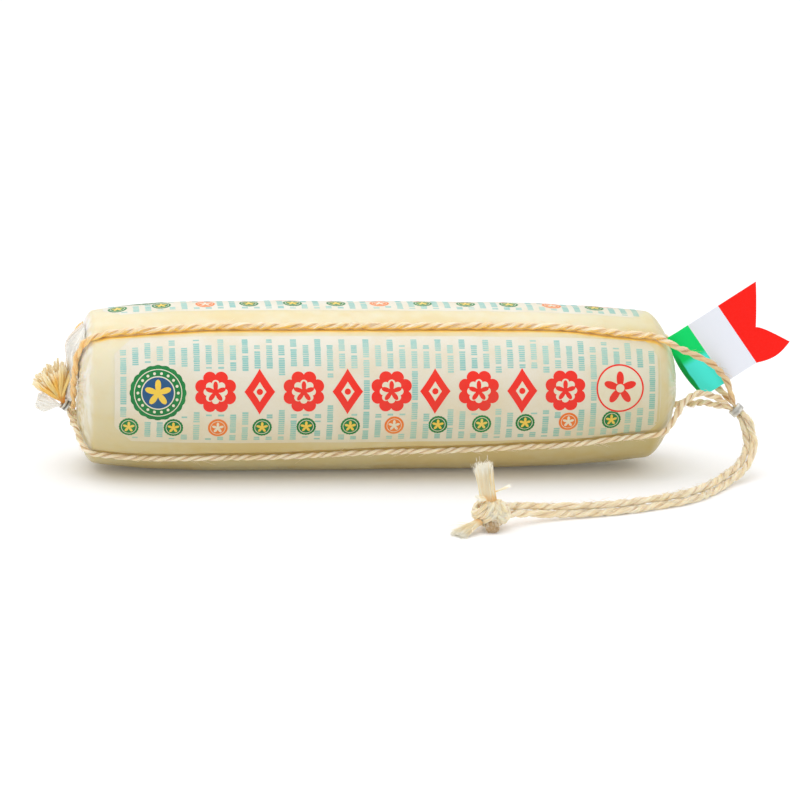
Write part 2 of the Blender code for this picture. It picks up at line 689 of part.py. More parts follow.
def main():
    clear_scene()
    make_log()
    make_ropes()
    left_frame = (LEFT_ALONG, LEFT_FRONT, LEFT_ACROSS)
    right_frame = (RIGHT_ALONG, RIGHT_FRONT, RIGHT_ACROSS)
    make_clip("clip_left", LEFT_CLIP, left_frame, LEFT_CLIP_OUTER, LEFT_CLIP_HALF)
    make_clip("clip_right", RIGHT_CLIP, right_frame, RIGHT_CLIP_OUTER, RIGHT_CLIP_HALF)
    make_left_tuft()
    make_film_tail()
    make_loop()
    make_knot()
    make_knot_ends()
    make_tag()


main()
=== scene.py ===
"""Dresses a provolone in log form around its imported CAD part.

A film-wrapped log of cheese with a printed wrapper, four twisted sisal ropes in grooves along it,
a crimped clip at each end, a raffia tuft, a doubled hanging loop with its knot, and a swallowtail
tag in three colours. Metres, +X along the log, +Z up, the log resting on z = 0.
"""

import logging
import math
from collections.abc import Callable, Sequence
from dataclasses import dataclass, field
from enum import Enum

import bpy
import numpy as np
from mathutils import Matrix


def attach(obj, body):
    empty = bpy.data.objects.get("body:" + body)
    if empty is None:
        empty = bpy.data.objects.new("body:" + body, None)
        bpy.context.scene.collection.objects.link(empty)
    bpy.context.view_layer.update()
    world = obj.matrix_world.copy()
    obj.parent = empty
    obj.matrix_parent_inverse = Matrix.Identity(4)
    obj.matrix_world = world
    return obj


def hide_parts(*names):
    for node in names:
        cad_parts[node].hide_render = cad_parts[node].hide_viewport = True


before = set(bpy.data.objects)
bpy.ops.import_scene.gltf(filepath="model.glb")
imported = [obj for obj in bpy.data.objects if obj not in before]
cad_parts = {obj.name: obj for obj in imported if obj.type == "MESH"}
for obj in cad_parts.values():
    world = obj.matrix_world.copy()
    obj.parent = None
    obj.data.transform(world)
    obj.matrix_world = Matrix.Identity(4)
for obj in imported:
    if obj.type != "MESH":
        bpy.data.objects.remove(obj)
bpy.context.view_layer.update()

LOG = logging.getLogger("provolone")
Array = np.ndarray
Colour = tuple[float, float, float, float]

BODY = "root"
TURN = 2.0 * math.pi


# --- Small sums -------------------------------------------------------------------------------
def srgb(red: float, green: float, blue: float) -> Colour:
    """A display colour as a linear one: ((s + 0.055) / 1.055) ^ 2.4 above the toe, s / 12.92 below.

    Args:
        red: Red from 0 to 255.
        green: Green from 0 to 255.
        blue: Blue from 0 to 255.

    Returns:
        Linear red, green, blue and an alpha of 1.
    """
    shares = np.array([red, green, blue]) / 255.0
    linear = np.where(shares > 0.04045, ((shares + 0.055) / 1.055) ** 2.4, shares / 12.92)
    return (float(linear[0]), float(linear[1]), float(linear[2]), 1.0)


def unit(vectors: Array) -> Array:
    """Vectors divided by their own lengths along the last axis."""
    vectors = np.asarray(vectors, float)
    return vectors / np.maximum(np.linalg.norm(vectors, axis=-1, keepdims=True), 1e-12)


def ease(values: Array, low: float, high: float) -> Array:
    """Smooth step from 0 at low to 1 at high: 3 t^2 - 2 t^3 of the clipped share t."""
    share = np.clip((np.asarray(values, float) - low) / (high - low), 0.0, 1.0)
    return share * share * (3.0 - 2.0 * share)


def travelled(points: Array) -> Array:
    """Distance along a line of points from its first one."""
    steps = np.linalg.norm(np.diff(points, axis=0), axis=1)
    return np.concatenate([[0.0], np.cumsum(steps)])


def resampled(points: Array, step: float) -> Array:
    """Points at even distances about a step apart on straight pieces between the given points."""
    places = travelled(points)
    wanted = np.linspace(0.0, places[-1], max(2, round(places[-1] / step) + 1))
    return np.stack([np.interp(wanted, places, points[:, k]) for k in range(3)], axis=1)


def smooth_route(points: Sequence[Sequence[float]] | Array, step: float) -> Array:
    """Points about a step apart on the Catmull-Rom curve through the given ones.

    Between two points the curve is the cubic whose end slopes are half the chord to each side.

    Args:
        points: Route points, three numbers each.
        step: Spacing wanted along the curve.

    Returns:
        Points of the curve, first and last included.
    """
    points = np.asarray(points, float)
    padded = np.vstack([2 * points[0] - points[1], points, 2 * points[-1] - points[-2]])
    share = np.linspace(0.0, 1.0, 24, endpoint=False)[None, :, None]
    before, start, end, after = (padded[k : len(padded) - 3 + k, None, :] for k in range(4))
    dense = 0.5 * (
        2 * start
        + (end - before) * share
        + (2 * before - 5 * start + 4 * end - after) * share**2
        + (3 * start - before - 3 * end + after) * share**3
    )
    return resampled(np.vstack([dense.reshape(-1, 3), points[-1:]]), step)


def framed(path: Array, reference: Array) -> tuple[Array, Array, Array]:
    """Unit tangent of a path, the part of the reference square to it, and their cross product."""
    along = unit(np.gradient(path, axis=0))
    up = unit(reference - (reference * along).sum(axis=-1, keepdims=True) * along)
    return along, up, np.cross(along, up)


# --- Meshes -----------------------------------------------------------------------------------
class ShellBench:
    """Gathers closed shells as arrays and writes them as one mesh object."""

    def __init__(self) -> None:
        """Start with nothing gathered."""
        self.points: list[Array] = []
        self.shades: list[Array] = []
        self.faces: dict[int, list[Array]] = {4: [], 3: []}
        self.maps: dict[int, list[Array]] = {4: [], 3: []}
        self.count = 0

    def shell(
        self,
        points: Array,
        quads: tuple[Array, Array],
        triangles: tuple[Array, Array],
        shade: Array | None = None,
    ) -> None:
        """Add closed bodies, turned so that their signed volume is positive.

        Args:
            points: Vertices, shape (n, 3).
            quads: Four-sided faces (m, 4) and their map (m, 4, 2).
            triangles: Three-sided faces (k, 3) and their map (k, 3, 2).
            shade: One number for each vertex, kept as the attribute "shade".
        """
        corners = np.concatenate([quads[0][:, [0, 1, 2]], quads[0][:, [0, 2, 3]], triangles[0]])
        first, second, third = (points[corners[:, k]] for k in range(3))
        inside_out = np.einsum("ij,ij->", first, np.cross(second, third)) < 0.0
        for size, (faces, spots) in ((4, quads), (3, triangles)):
            turned = slice(None, None, -1) if inside_out else slice(None)
            self.faces[size].append(faces[:, turned] + self.count)
            self.maps[size].append(spots[:, turned])
        self.points.append(points)
        self.shades.append(np.zeros(len(points)) if shade is None else shade)
        self.count += len(points)

    def tube(
        self,
        rings: Array,
        spots: Array | None = None,
        shade: Array | None = None,
        tips: tuple[Array, Array] | None = None,
    ) -> None:
        """Add one closed skin through rings of points, a fan closing each end.

        Args:
            rings: Points, shape (rows, columns, 3).
            spots: Map of the rings, shape (rows, columns + 1, 2); even shares when left out.
            shade: Shade of each ring point, shape (rows, columns).
            tips: The two end points; the end rings' middles when left out.
        """
        rows, columns = rings.shape[:2]
        if spots is None:
            spots = np.stack(
                np.meshgrid(np.linspace(0, 1, rows), np.linspace(0, 1, columns + 1), indexing="ij"),
                axis=-1,
            )
        low, high = tips if tips is not None else (rings[0].mean(axis=0), rings[-1].mean(axis=0))
        index = np.arange(rows * columns).reshape(rows, columns)
        right = np.roll(index, -1, axis=1)
        quads = np.stack([index[:-1], right[:-1], right[1:], index[1:]], axis=-1).reshape(-1, 4)
        quad_map = np.stack(
            [spots[:-1, :-1], spots[:-1, 1:], spots[1:, 1:], spots[1:, :-1]], axis=2
        )
        size = rows * columns
        fans, fan_maps = [], []
        for row, apex, one, other in ((0, size, right, index), (-1, size + 1, index, right)):
            fans.append(np.stack([one[row], other[row], np.full(columns, apex)], axis=-1))
            pair = (spots[row, 1:], spots[row, :-1])
            pair = pair if row == 0 else pair[::-1]
            middle = np.broadcast_to(spots[row].mean(axis=0), pair[0].shape)
            fan_maps.append(np.stack([pair[0], pair[1], middle], axis=1))
        flat_shade = None
        if shade is not None:
            flat_shade = np.concatenate([shade.ravel(), [shade[0].mean(), shade[-1].mean()]])
        self.shell(
            np.concatenate([rings.reshape(-1, 3), np.stack([low, high])]),
            (quads, quad_map.reshape(-1, 4, 2)),
            (np.concatenate(fans), np.concatenate(fan_maps)),
            flat_shade,
        )

    def plate(self, front: Array, back: Array, spots: Array, shade: Array | None = None) -> None:
        """Add a thin closed plate between two grids of points.

        Args:
            front: Front grid, shape (rows, columns, 3).
            back: Back grid of the same shape.
            spots: Map of the grid, shape (rows, columns, 2).
            shade: Shade of the grid, shape (rows, columns).
        """
        rows, columns = front.shape[:2]
        index = np.arange(rows * columns).reshape(rows, columns)
        face = np.stack([index[:-1, :-1], index[:-1, 1:], index[1:, 1:], index[1:, :-1]], axis=-1)
        face = face.reshape(-1, 4)
        edge = np.concatenate(
            [index[0, :-1], index[:-1, -1], index[-1, :0:-1], index[:0:-1, 0]]
        )
        ahead = np.roll(edge, -1)
        behind = rows * columns
        sides = np.stack([ahead, edge, edge + behind, ahead + behind], axis=-1)
        quads = np.concatenate([face, face[:, ::-1] + behind, sides])
        flat = np.concatenate([spots.reshape(-1, 2)] * 2)
        nothing = (np.zeros((0, 3), int), np.zeros((0, 3, 2)))
        both = None if shade is None else np.concatenate([shade.ravel()] * 2)
        points = np.concatenate([front.reshape(-1, 3), back.reshape(-1, 3)])
        self.shell(points, (quads, flat[quads]), nothing, both)

    def hairs(self, paths: Array, radii: Array, shade: Array, sides: int = 3) -> None:
        """Add many thin closed tubes at once, each a ring of sides carried along its path.

        Args:
            paths: Middle lines, shape (hairs, steps, 3).
            radii: Radius at each step, shape (hairs, steps).
            shade: One number for each hair.
            sides: Corners of a hair's section.
        """
        many, steps = paths.shape[:2]
        along = unit(np.gradient(paths, axis=1))
        reference = np.where(np.abs(along[..., 2:]) > 0.9, [[[0.0, 1.0, 0.0]]], [[[0.0, 0.0, 1.0]]])
        one = unit(np.cross(along, reference))
        other = np.cross(along, one)
        turn = np.linspace(0.0, TURN, sides, endpoint=False)
        ring = np.cos(turn)[:, None] * one[:, :, None] + np.sin(turn)[:, None] * other[:, :, None]
        points = paths[:, :, None] + ring * radii[:, :, None, None]
        index = np.arange(many * steps * sides).reshape(many, steps, sides)
        right = np.roll(index, -1, axis=2)
        quads = np.stack(
            [index[:, :-1], right[:, :-1], right[:, 1:], index[:, 1:]], axis=-1
        ).reshape(-1, 4)
        low = [np.stack([index[:, 0, 0], index[:, 0, k + 1], index[:, 0, k]], -1) for k in range(1, sides - 1)]
        high = [np.stack([index[:, -1, 0], index[:, -1, k], index[:, -1, k + 1]], -1) for k in range(1, sides - 1)]
        triangles = np.concatenate(low + high)
        share = np.broadcast_to(np.linspace(0, 1, steps)[None, :, None], index.shape)
        pick = np.broadcast_to(shade[:, None, None], index.shape)
        flat = np.stack([share, pick], axis=-1).reshape(-1, 2)
        self.shell(points.reshape(-1, 3), (quads, flat[quads]), (triangles, flat[triangles]), pick.ravel())

    def write(self, name: str, material: bpy.types.Material, sharp: float = 60.0) -> bpy.types.Object:
        """Make the object of everything gathered, smooth but for edges sharper than an angle.

        Args:
            name: Name of the piece.
            material: Its finish.
            sharp: Angle in degrees past which an edge stays hard.

        Returns:
            The new object, at the origin and not yet riding on a body.
        """
        points = np.concatenate(self.points)
        points[:, 2] = np.maximum(points[:, 2], 0.0)
        parts = {size: np.concatenate(self.faces[size]) for size in (4, 3) if self.faces[size]}
        spots = np.concatenate([np.concatenate(self.maps[size]).reshape(-1, 2) for size in parts])
        loops = np.concatenate([faces.ravel() for faces in parts.values()])
        sizes = np.concatenate([np.full(len(faces), size) for size, faces in parts.items()])
        mesh = bpy.data.meshes.new(name)
        mesh.vertices.add(len(points))
        mesh.vertices.foreach_set("co", points.astype(np.float32).ravel())
        mesh.loops.add(len(loops))
        mesh.loops.foreach_set("vertex_index", loops.astype(np.int32))
        mesh.polygons.add(len(sizes))
        starts = np.concatenate([[0], np.cumsum(sizes)[:-1]])
        mesh.polygons.foreach_set("loop_start", starts.astype(np.int32))
        mesh.update(calc_edges=True)
        layer = mesh.uv_layers.new(name="Lay")
        layer.data.foreach_set("uv", spots.astype(np.float32).ravel())
        shade = mesh.attributes.new("shade", "FLOAT", "POINT")
        shade.data.foreach_set("value", np.concatenate(self.shades).astype(np.float32))
        mesh.validate()
        mesh.shade_smooth()
        mesh.set_sharp_from_angle(angle=math.radians(sharp))
        mesh.materials.append(material)
        obj = bpy.data.objects.new(name, mesh)
        bpy.context.scene.collection.objects.link(obj)
        return obj


def seat(obj: bpy.types.Object, slot: str, *stands_for: str) -> bpy.types.Object:
    """Let a piece ride on the body and hide the CAD nodes it stands for.

    Args:
        obj: The finished piece.
        slot: Material slot of the record, not used.
        stands_for: CAD nodes that this piece replaces.

    Returns:
        The same piece.
    """
    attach(obj, BODY)
    if stands_for:
        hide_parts(*stands_for)
    LOG.info("piece %s: %d faces", obj.name, len(obj.data.polygons))
    return obj


# --- Materials --------------------------------------------------------------------------------
class NodeBench:
    """Lays out the nodes of one Principled material."""

    def __init__(self, name: str) -> None:
        """Start a material with its shader and its object coordinates."""
        self.material = bpy.data.materials.new(name)
        self.material.use_nodes = True
        self.tree = self.material.node_tree
        self.shader = self.tree.nodes["Principled BSDF"]
        coordinates = self.tree.nodes.new("ShaderNodeTexCoord")
        self.place = coordinates.outputs["Object"]
        self.facing = coordinates.outputs["Normal"]

    def give(self, socket: bpy.types.NodeSocket, value: object) -> None:
        """Link a socket to another one, or set its own value."""
        if isinstance(value, bpy.types.NodeSocket):
            self.tree.links.new(value, socket)
        else:
            socket.default_value = value

    def surface(self, **values: object) -> None:
        """Set the shader's sockets by name, underscores standing for spaces."""
        for name, value in values.items():
            self.give(self.shader.inputs[name.replace("_", " ")], value)

    def lay(self) -> bpy.types.NodeSocket:
        """The piece's own map."""
        node = self.tree.nodes.new("ShaderNodeUVMap")
        node.uv_map = "Lay"
        return node.outputs["UV"]

    def shade(self) -> bpy.types.NodeSocket:
        """The piece's own shade attribute."""
        node = self.tree.nodes.new("ShaderNodeAttribute")
        node.attribute_name = "shade"
        return node.outputs["Fac"]

    def stretched(
        self, vector: bpy.types.NodeSocket, scale: Sequence[float], shift: Sequence[float] = (0, 0, 0)
    ) -> bpy.types.NodeSocket:
        """Coordinates scaled and shifted by a Mapping node."""
        node = self.tree.nodes.new("ShaderNodeMapping")
        self.give(node.inputs["Vector"], vector)
        node.inputs["Scale"].default_value = scale
        node.inputs["Location"].default_value = shift
        return node.outputs["Vector"]

    def noise(
        self, vector: bpy.types.NodeSocket, scale: float, detail: float = 2.0, wander: float = 0.0
    ) -> bpy.types.NodeSocket:
        """Cloudy noise from 0 to 1.

        Args:
            vector: Coordinates that it reads.
            scale: Features per unit of them.
            detail: Octaves.
            wander: Distortion.

        Returns:
            The noise's value socket.
        """
        node = self.tree.nodes.new("ShaderNodeTexNoise")
        self.give(node.inputs["Vector"], vector)
        node.inputs["Scale"].default_value = scale
        node.inputs["Detail"].default_value = detail
        node.inputs["Distortion"].default_value = wander
        return node.outputs["Fac"]

    def ramp(
        self,
        value: bpy.types.NodeSocket,
        stops: Sequence[tuple[float, Colour]],
        stepped: bool = False,
    ) -> bpy.types.NodeSocket:
        """Colour by value, through these stops.

        Args:
            value: Number from 0 to 1.
            stops: Places and their colours, rising.
            stepped: Hard borders instead of fades.

        Returns:
            The colour socket.
        """
        node = self.tree.nodes.new("ShaderNodeValToRGB")
        self.give(node.inputs["Fac"], value)
        band = node.color_ramp
        band.interpolation = "CONSTANT" if stepped else "LINEAR"
        while len(band.elements) < len(stops):
            band.elements.new(1.0)
        for element, (place, colour) in zip(band.elements, stops):
            element.position = place
            element.color = colour
        return node.outputs["Color"]

    def blend(self, share: object, first: object, second: object, kind: str = "MIX") -> bpy.types.NodeSocket:
        """Colour between two, or the first one tinted by the second, by a share from 0 to 1."""
        node = self.tree.nodes.new("ShaderNodeMix")
        node.data_type = "RGBA"
        node.blend_type = kind
        self.give(node.inputs[0], share)
        self.give(node.inputs[6], first)
        self.give(node.inputs[7], second)
        return node.outputs[2]

    def sum(self, kind: str, first: object, second: object = 0.0, third: object = 0.0) -> bpy.types.NodeSocket:
        """One Math node's value."""
        node = self.tree.nodes.new("ShaderNodeMath")
        node.operation = kind
        for socket, value in zip(node.inputs, (first, second, third)):
            self.give(socket, value)
        return node.outputs[0]

    def spread(self, value: bpy.types.NodeSocket, low: float, high: float, to: tuple[float, float] = (0.0, 1.0)) -> bpy.types.NodeSocket:
        """A value moved from the range low-high to another range, clipped and eased."""
        node = self.tree.nodes.new("ShaderNodeMapRange")
        node.interpolation_type = "SMOOTHSTEP"
        self.give(node.inputs["Value"], value)
        for name, number in zip(("From Min", "From Max", "To Min", "To Max"), (low, high, *to)):
            node.inputs[name].default_value = number
        return node.outputs["Result"]

    def axis(self, vector: bpy.types.NodeSocket, name: str) -> bpy.types.NodeSocket:
        """One part of a vector, X, Y or Z."""
        node = self.tree.nodes.new("ShaderNodeSeparateXYZ")
        self.give(node.inputs["Vector"], vector)
        return node.outputs[name]

    def bump(
        self, height: bpy.types.NodeSocket, strength: float, depth: float, under: bpy.types.NodeSocket | None = None
    ) -> bpy.types.NodeSocket:
        """A normal roughened by a height.

        Args:
            height: Height from 0 to 1.
            strength: Share of the effect.
            depth: Metres between 0 and 1.
            under: Normal of a coarser bump below this one.

        Returns:
            The normal socket.
        """
        node = self.tree.nodes.new("ShaderNodeBump")
        node.inputs["Strength"].default_value = strength
        node.inputs["Distance"].default_value = depth
        self.give(node.inputs["Height"], height)
        if under is not None:
            self.give(node.inputs["Normal"], under)
        return node.outputs["Normal"]


def film_normal(bench: NodeBench) -> bpy.types.NodeSocket:
    """The clinging film's fine unevenness, the same on the plain skin and on every print."""
    fine = bench.noise(bench.place, 420.0, 3.0)
    drawn = bench.noise(bench.stretched(bench.place, (70.0, 260.0, 260.0)), 1.0, 3.0, 0.6)
    return bench.bump(drawn, 0.55, 0.00030, bench.bump(fine, 0.30, 0.00008))


def painted_shade_low_and_right(bench: NodeBench, colour: bpy.types.NodeSocket, share: float) -> bpy.types.NodeSocket:
    """A colour darkened by painted shade towards the log's underside and its right end."""
    # painted shade: darker towards the bottom of the log and towards its right end
    low = bench.spread(bench.axis(bench.place, "Z"), 0.112, 0.004, (0.0, share))
    right = bench.spread(bench.axis(bench.place, "X"), 0.100, 0.215, (0.0, share))
    colour = bench.blend(low, colour, (0.72, 0.66, 0.46, 1.0), "MULTIPLY")
    return bench.blend(right, colour, (0.88, 0.88, 0.78, 1.0), "MULTIPLY")


@dataclass(frozen=True)
class WrappedCheese:
    """Cheese seen through its clear film: cream, yellower in patches, whiter where film gathers, with painted shade and
    a painted warm glow at the ropes.
    """

    pale: Colour = srgb(233, 225, 196)
    deep: Colour = srgb(230, 213, 166)
    gathered: Colour = srgb(244, 242, 236)
    # a warm colour painted as shade in the rope grooves and as glow beneath the upper front rope
    painted_groove_glow: Colour = srgb(255, 212, 104)
    left_gather: float = -0.2050
    right_gather: float = 0.2080
    fade: float = 0.0035

    def make(self) -> bpy.types.Material:
        """Build the material."""
        bench = NodeBench("wrapped_cheese")
        patches = bench.noise(bench.stretched(bench.place, (14.0, 30.0, 30.0)), 1.0, 3.0)
        mottled = bench.noise(bench.place, 120.0, 3.0)
        share = bench.spread(bench.sum("MULTIPLY_ADD", mottled, 0.30, patches), 0.48, 0.86)
        colour = bench.blend(share, self.pale, self.deep)
        along = bench.axis(bench.place, "X")
        left = bench.spread(along, self.left_gather + self.fade, self.left_gather)
        right = bench.spread(along, self.right_gather - self.fade, self.right_gather)
        milky = bench.noise(bench.stretched(bench.place, (90.0, 160.0, 60.0)), 1.0, 3.0)
        milk = bench.sum("MULTIPLY", bench.sum("MAXIMUM", left, right), bench.spread(milky, 0.30, 0.62))
        colour = bench.blend(milk, colour, self.gathered)
        # painted shade and glow: the shade attribute brings in the warm groove colour, over a colour darkened by
        # painted shade low down and at the right end
        colour = bench.blend(bench.shade(), painted_shade_low_and_right(bench, colour, 1.0), self.painted_groove_glow)
        bench.surface(
            Base_Color=colour,
            Roughness=bench.spread(mottled, 0.2, 0.8, (0.30, 0.42)),
            Normal=film_normal(bench),
            Subsurface_Weight=0.35,
            Subsurface_Radius=(1.0, 0.72, 0.36),
            Subsurface_Scale=0.006,
            Specular_IOR_Level=0.30,
            Coat_Weight=0.12,
            Coat_Roughness=0.16,
        )
        return bench.material


@dataclass(frozen=True)
class Print:
    """Ink or milky ground printed on the film: its colour, a little uneven, under the film's gloss, with painted shade
    towards the log's underside and right end.
    """

    name: str
    colour: Colour
    worn: Colour
    gloss: float = 0.36

    def make(self) -> bpy.types.Material:
        """Build the material."""
        bench = NodeBench(self.name)
        patches = bench.noise(bench.place, 45.0, 3.0)
        grain = bench.noise(bench.place, 900.0, 2.0)
        share = bench.spread(bench.sum("MULTIPLY_ADD", grain, 0.35, patches), 0.50, 0.95)
        bench.surface(
            # painted shade towards the underside and the right end
            Base_Color=painted_shade_low_and_right(bench, bench.blend(share, self.colour, self.worn), 0.75),
            Roughness=bench.spread(grain, 0.2, 0.8, (self.gloss - 0.04, self.gloss + 0.08)),
            Normal=film_normal(bench),
            Specular_IOR_Level=0.30,
            Coat_Weight=0.12,
            Coat_Roughness=0.16,
        )
        return bench.material


@dataclass(frozen=True)
class Sisal:
    """Twisted plant fibre: long streaks from straw to amber, with painted shade between the strands and, where a glow
    colour is given, painted light on the rope's underside and its left end.
    """

    name: str
    # colour painted as shade between the strands
    painted_crevice_shade: Colour
    amber: Colour
    straw: Colour
    bright: Colour
    # warm colour painted as glow on the rope's underside
    glow: Colour | None = None
    free: Colour = (0.86, 0.81, 0.70, 1.0)
    # brighter orange at the left end, partly painted light
    end: Colour = srgb(255, 202, 118)

    def with_painted_light(self, bench: NodeBench, colour: bpy.types.NodeSocket) -> bpy.types.NodeSocket:
        """Painted glow underneath where a rope lies high on the log, browner where it runs free of it, and a brighter
        orange at the left end, partly painted light against the shade there.
        """
        along = bench.sum("ABSOLUTE", bench.axis(bench.place, "X"))
        held = bench.spread(along, 0.215, 0.198)
        free = bench.spread(bench.axis(bench.place, "X"), 0.205, 0.225)
        colour = bench.blend(free, colour, self.free, "MULTIPLY")
        # painted glow: faces turned downwards on the high stretches that lie on the log
        under = bench.spread(bench.axis(bench.facing, "Z"), 0.25, -0.40)
        high = bench.spread(bench.axis(bench.place, "Z"), 0.075, 0.090)
        share = bench.sum("MULTIPLY", bench.sum("MULTIPLY", under, high), held)
        colour = bench.blend(share, colour, self.glow)
        # partly painted light: a brighter orange towards the left end, where the rope lies in shade
        return bench.blend(bench.spread(bench.axis(bench.place, "X"), -0.199, -0.208, (0.0, 0.62)), colour, self.end)

    def make(self) -> bpy.types.Material:
        """Build the material."""
        bench = NodeBench(self.name)
        lay = bench.lay()
        streaks = bench.noise(bench.stretched(lay, (95.0, 1500.0, 1.0)), 1.0, 4.0, 0.3)
        bands = bench.noise(bench.stretched(lay, (30.0, 260.0, 1.0)), 1.0, 2.0)
        fibres = bench.noise(bench.stretched(lay, (160.0, 4200.0, 1.0)), 1.0, 3.0)
        share = bench.sum("MULTIPLY_ADD", bands, 0.55, bench.sum("MULTIPLY", streaks, 0.62))
        colour = bench.ramp(
            share, ((0.34, self.amber), (0.52, self.straw), (0.72, self.bright))
        )
        # painted shade: the shade attribute darkens the rope between its strands
        colour = bench.blend(bench.spread(bench.shade(), 0.10, 1.0), colour, self.painted_crevice_shade)
        if self.glow is not None:
            colour = self.with_painted_light(bench, colour)
        bench.surface(
            Base_Color=colour,
            Roughness=bench.spread(streaks, 0.3, 0.7, (0.58, 0.82)),
            Normal=bench.bump(streaks, 0.8, 0.0004, bench.bump(fibres, 0.6, 0.0002)),
            Subsurface_Weight=0.40,
            Subsurface_Radius=(1.0, 0.75, 0.42),
            Subsurface_Scale=0.0022,
            Sheen_Weight=0.25,
            Sheen_Roughness=0.45,
        )
        return bench.material


@dataclass(frozen=True)
class Strands:
    """Loose fibre and raffia: each strand its own tone, streaked along its length."""

    name: str
    root: Colour
    dark: Colour
    light: Colour
    tip: Colour

    def make(self) -> bpy.types.Material:
        """Build the material."""
        bench = NodeBench(self.name)
        lay = bench.lay()
        streaks = bench.noise(bench.stretched(lay, (3.0, 60.0, 1.0)), 1.0, 3.0)
        tone = bench.sum("MULTIPLY_ADD", streaks, 0.45, bench.sum("MULTIPLY", bench.shade(), 0.6))
        colour = bench.blend(bench.spread(tone, 0.25, 0.80), self.dark, self.light)
        along = bench.axis(lay, "X")
        colour = bench.blend(bench.spread(along, 0.28, 0.02), colour, self.root)
        colour = bench.blend(bench.spread(along, 0.70, 1.0), colour, self.tip)
        bench.surface(
            Base_Color=colour,
            Roughness=bench.spread(streaks, 0.2, 0.8, (0.50, 0.75)),
            Normal=bench.bump(streaks, 0.5, 0.0002),
            Subsurface_Weight=0.25,
            Subsurface_Radius=(1.0, 0.80, 0.50),
            Subsurface_Scale=0.0020,
        )
        return bench.material


@dataclass(frozen=True)
class CrimpedMetal:
    """Dull zinc-coated wire: grey, scuffed, duller in its scratches, with painted shade in its middle channel."""

    bright: Colour = srgb(236, 234, 225)
    dull: Colour = srgb(188, 186, 177)
    # dark colour painted as shade in the channel
    slot: Colour = srgb(62, 58, 60)

    def make(self) -> bpy.types.Material:
        """Build the material."""
        bench = NodeBench("clip_zinc")
        scuffs = bench.noise(bench.stretched(bench.place, (900.0, 500.0, 1400.0)), 1.0, 4.0)
        patches = bench.noise(bench.place, 260.0, 2.0)
        colour = bench.blend(bench.spread(patches, 0.35, 0.7), self.bright, self.dull)
        bench.surface(
            # painted shade: the shade attribute darkens the band's middle channel
            Base_Color=bench.blend(bench.shade(), colour, self.slot),
            Metallic=0.75,
            Roughness=bench.spread(scuffs, 0.3, 0.7, (0.30, 0.52)),
            Normal=bench.bump(scuffs, 0.4, 0.00015),
        )
        return bench.material


@dataclass(frozen=True)
class ClearFilm:
    """The free ends of the film: thin, clear and glossy, a little milky in its creases."""

    tint: Colour = srgb(253, 251, 243)
    edge: Colour = srgb(226, 196, 152)

    def make(self) -> bpy.types.Material:
        """Build the material."""
        bench = NodeBench("clear_film")
        creases = bench.noise(bench.stretched(bench.lay(), (3.0, 9.0, 1.0)), 1.0, 2.0, 0.4)
        milk = bench.spread(creases, 0.38, 0.62, (0.50, 0.86))
        turned = bench.tree.nodes.new("ShaderNodeLayerWeight")
        turned.inputs["Blend"].default_value = 0.5
        rim = bench.spread(turned.outputs["Facing"], 0.72, 0.98)
        bench.surface(
            Base_Color=bench.blend(rim, self.tint, self.edge),
            Alpha=bench.sum("MAXIMUM", milk, rim),
            Roughness=bench.spread(creases, 0.3, 0.7, (0.18, 0.34)),
            Normal=bench.bump(creases, 0.2, 0.0003),
            Specular_IOR_Level=0.4,
            Coat_Weight=0.3,
            Coat_Roughness=0.12,
        )
        return bench.material


@dataclass(frozen=True)
class TagPlastic:
    """Printed card under gloss: green, white and red across the tag, with a painted highlight of bluer green where it
    bends and painted shade of darker green on its curled-back edge.
    """

    green: Colour = srgb(0, 232, 118)
    # lighter, bluer green painted as a highlight where the card bends
    painted_bend_highlight: Colour = srgb(84, 255, 246)
    # darker green painted as shade on the curled-back edge
    curled: Colour = srgb(0, 168, 76)
    white: Colour = srgb(238, 242, 252)
    red: Colour = srgb(255, 20, 0)
    length: float = 0.0760
    stripe_ends: tuple[float, float] = (0.0160, 0.0418)

    def make(self) -> bpy.types.Material:
        """Build the material."""
        bench = NodeBench("tag_print")
        lay = bench.lay()
        along = bench.axis(lay, "X")
        across = bench.axis(lay, "Y")
        first, second = (place / self.length for place in self.stripe_ends)
        stripes = bench.ramp(
            bench.sum("DIVIDE", along, self.length),
            ((0.0, self.green), (first, self.white), (second, self.red)),
            stepped=True,
        )
        # painted highlight: the lower part left of the white stripe, where the card bends
        lower = bench.spread(across, 0.020, 0.026)
        before = bench.spread(along, 0.0160, 0.0158)
        glow = bench.sum("MULTIPLY", bench.sum("MULTIPLY", lower, before), 0.95)
        colour = bench.blend(glow, stripes, self.painted_bend_highlight)
        # painted shade: the lower part of the left edge, where the card curls back
        wavy = bench.sum("MULTIPLY_ADD", bench.noise(lay, 60.0, 1.0), 0.004, along)
        curl = bench.sum("MULTIPLY", bench.spread(wavy, -0.0010, -0.0022), bench.spread(across, 0.012, 0.022))
        colour = bench.blend(curl, colour, self.curled)
        print_grain = bench.noise(lay, 700.0, 3.0)
        waves = bench.noise(lay, 70.0, 2.0)
        bench.surface(
            Base_Color=bench.blend(bench.sum("MULTIPLY", print_grain, 0.02), colour, self.white),
            Roughness=bench.spread(print_grain, 0.2, 0.8, (0.40, 0.50)),
            Specular_IOR_Level=0.08,
            Normal=bench.bump(waves, 0.3, 0.0010, bench.bump(print_grain, 0.2, 0.00005)),
            Coat_Weight=0.02,
            Coat_Roughness=0.12,
        )
        return bench.material


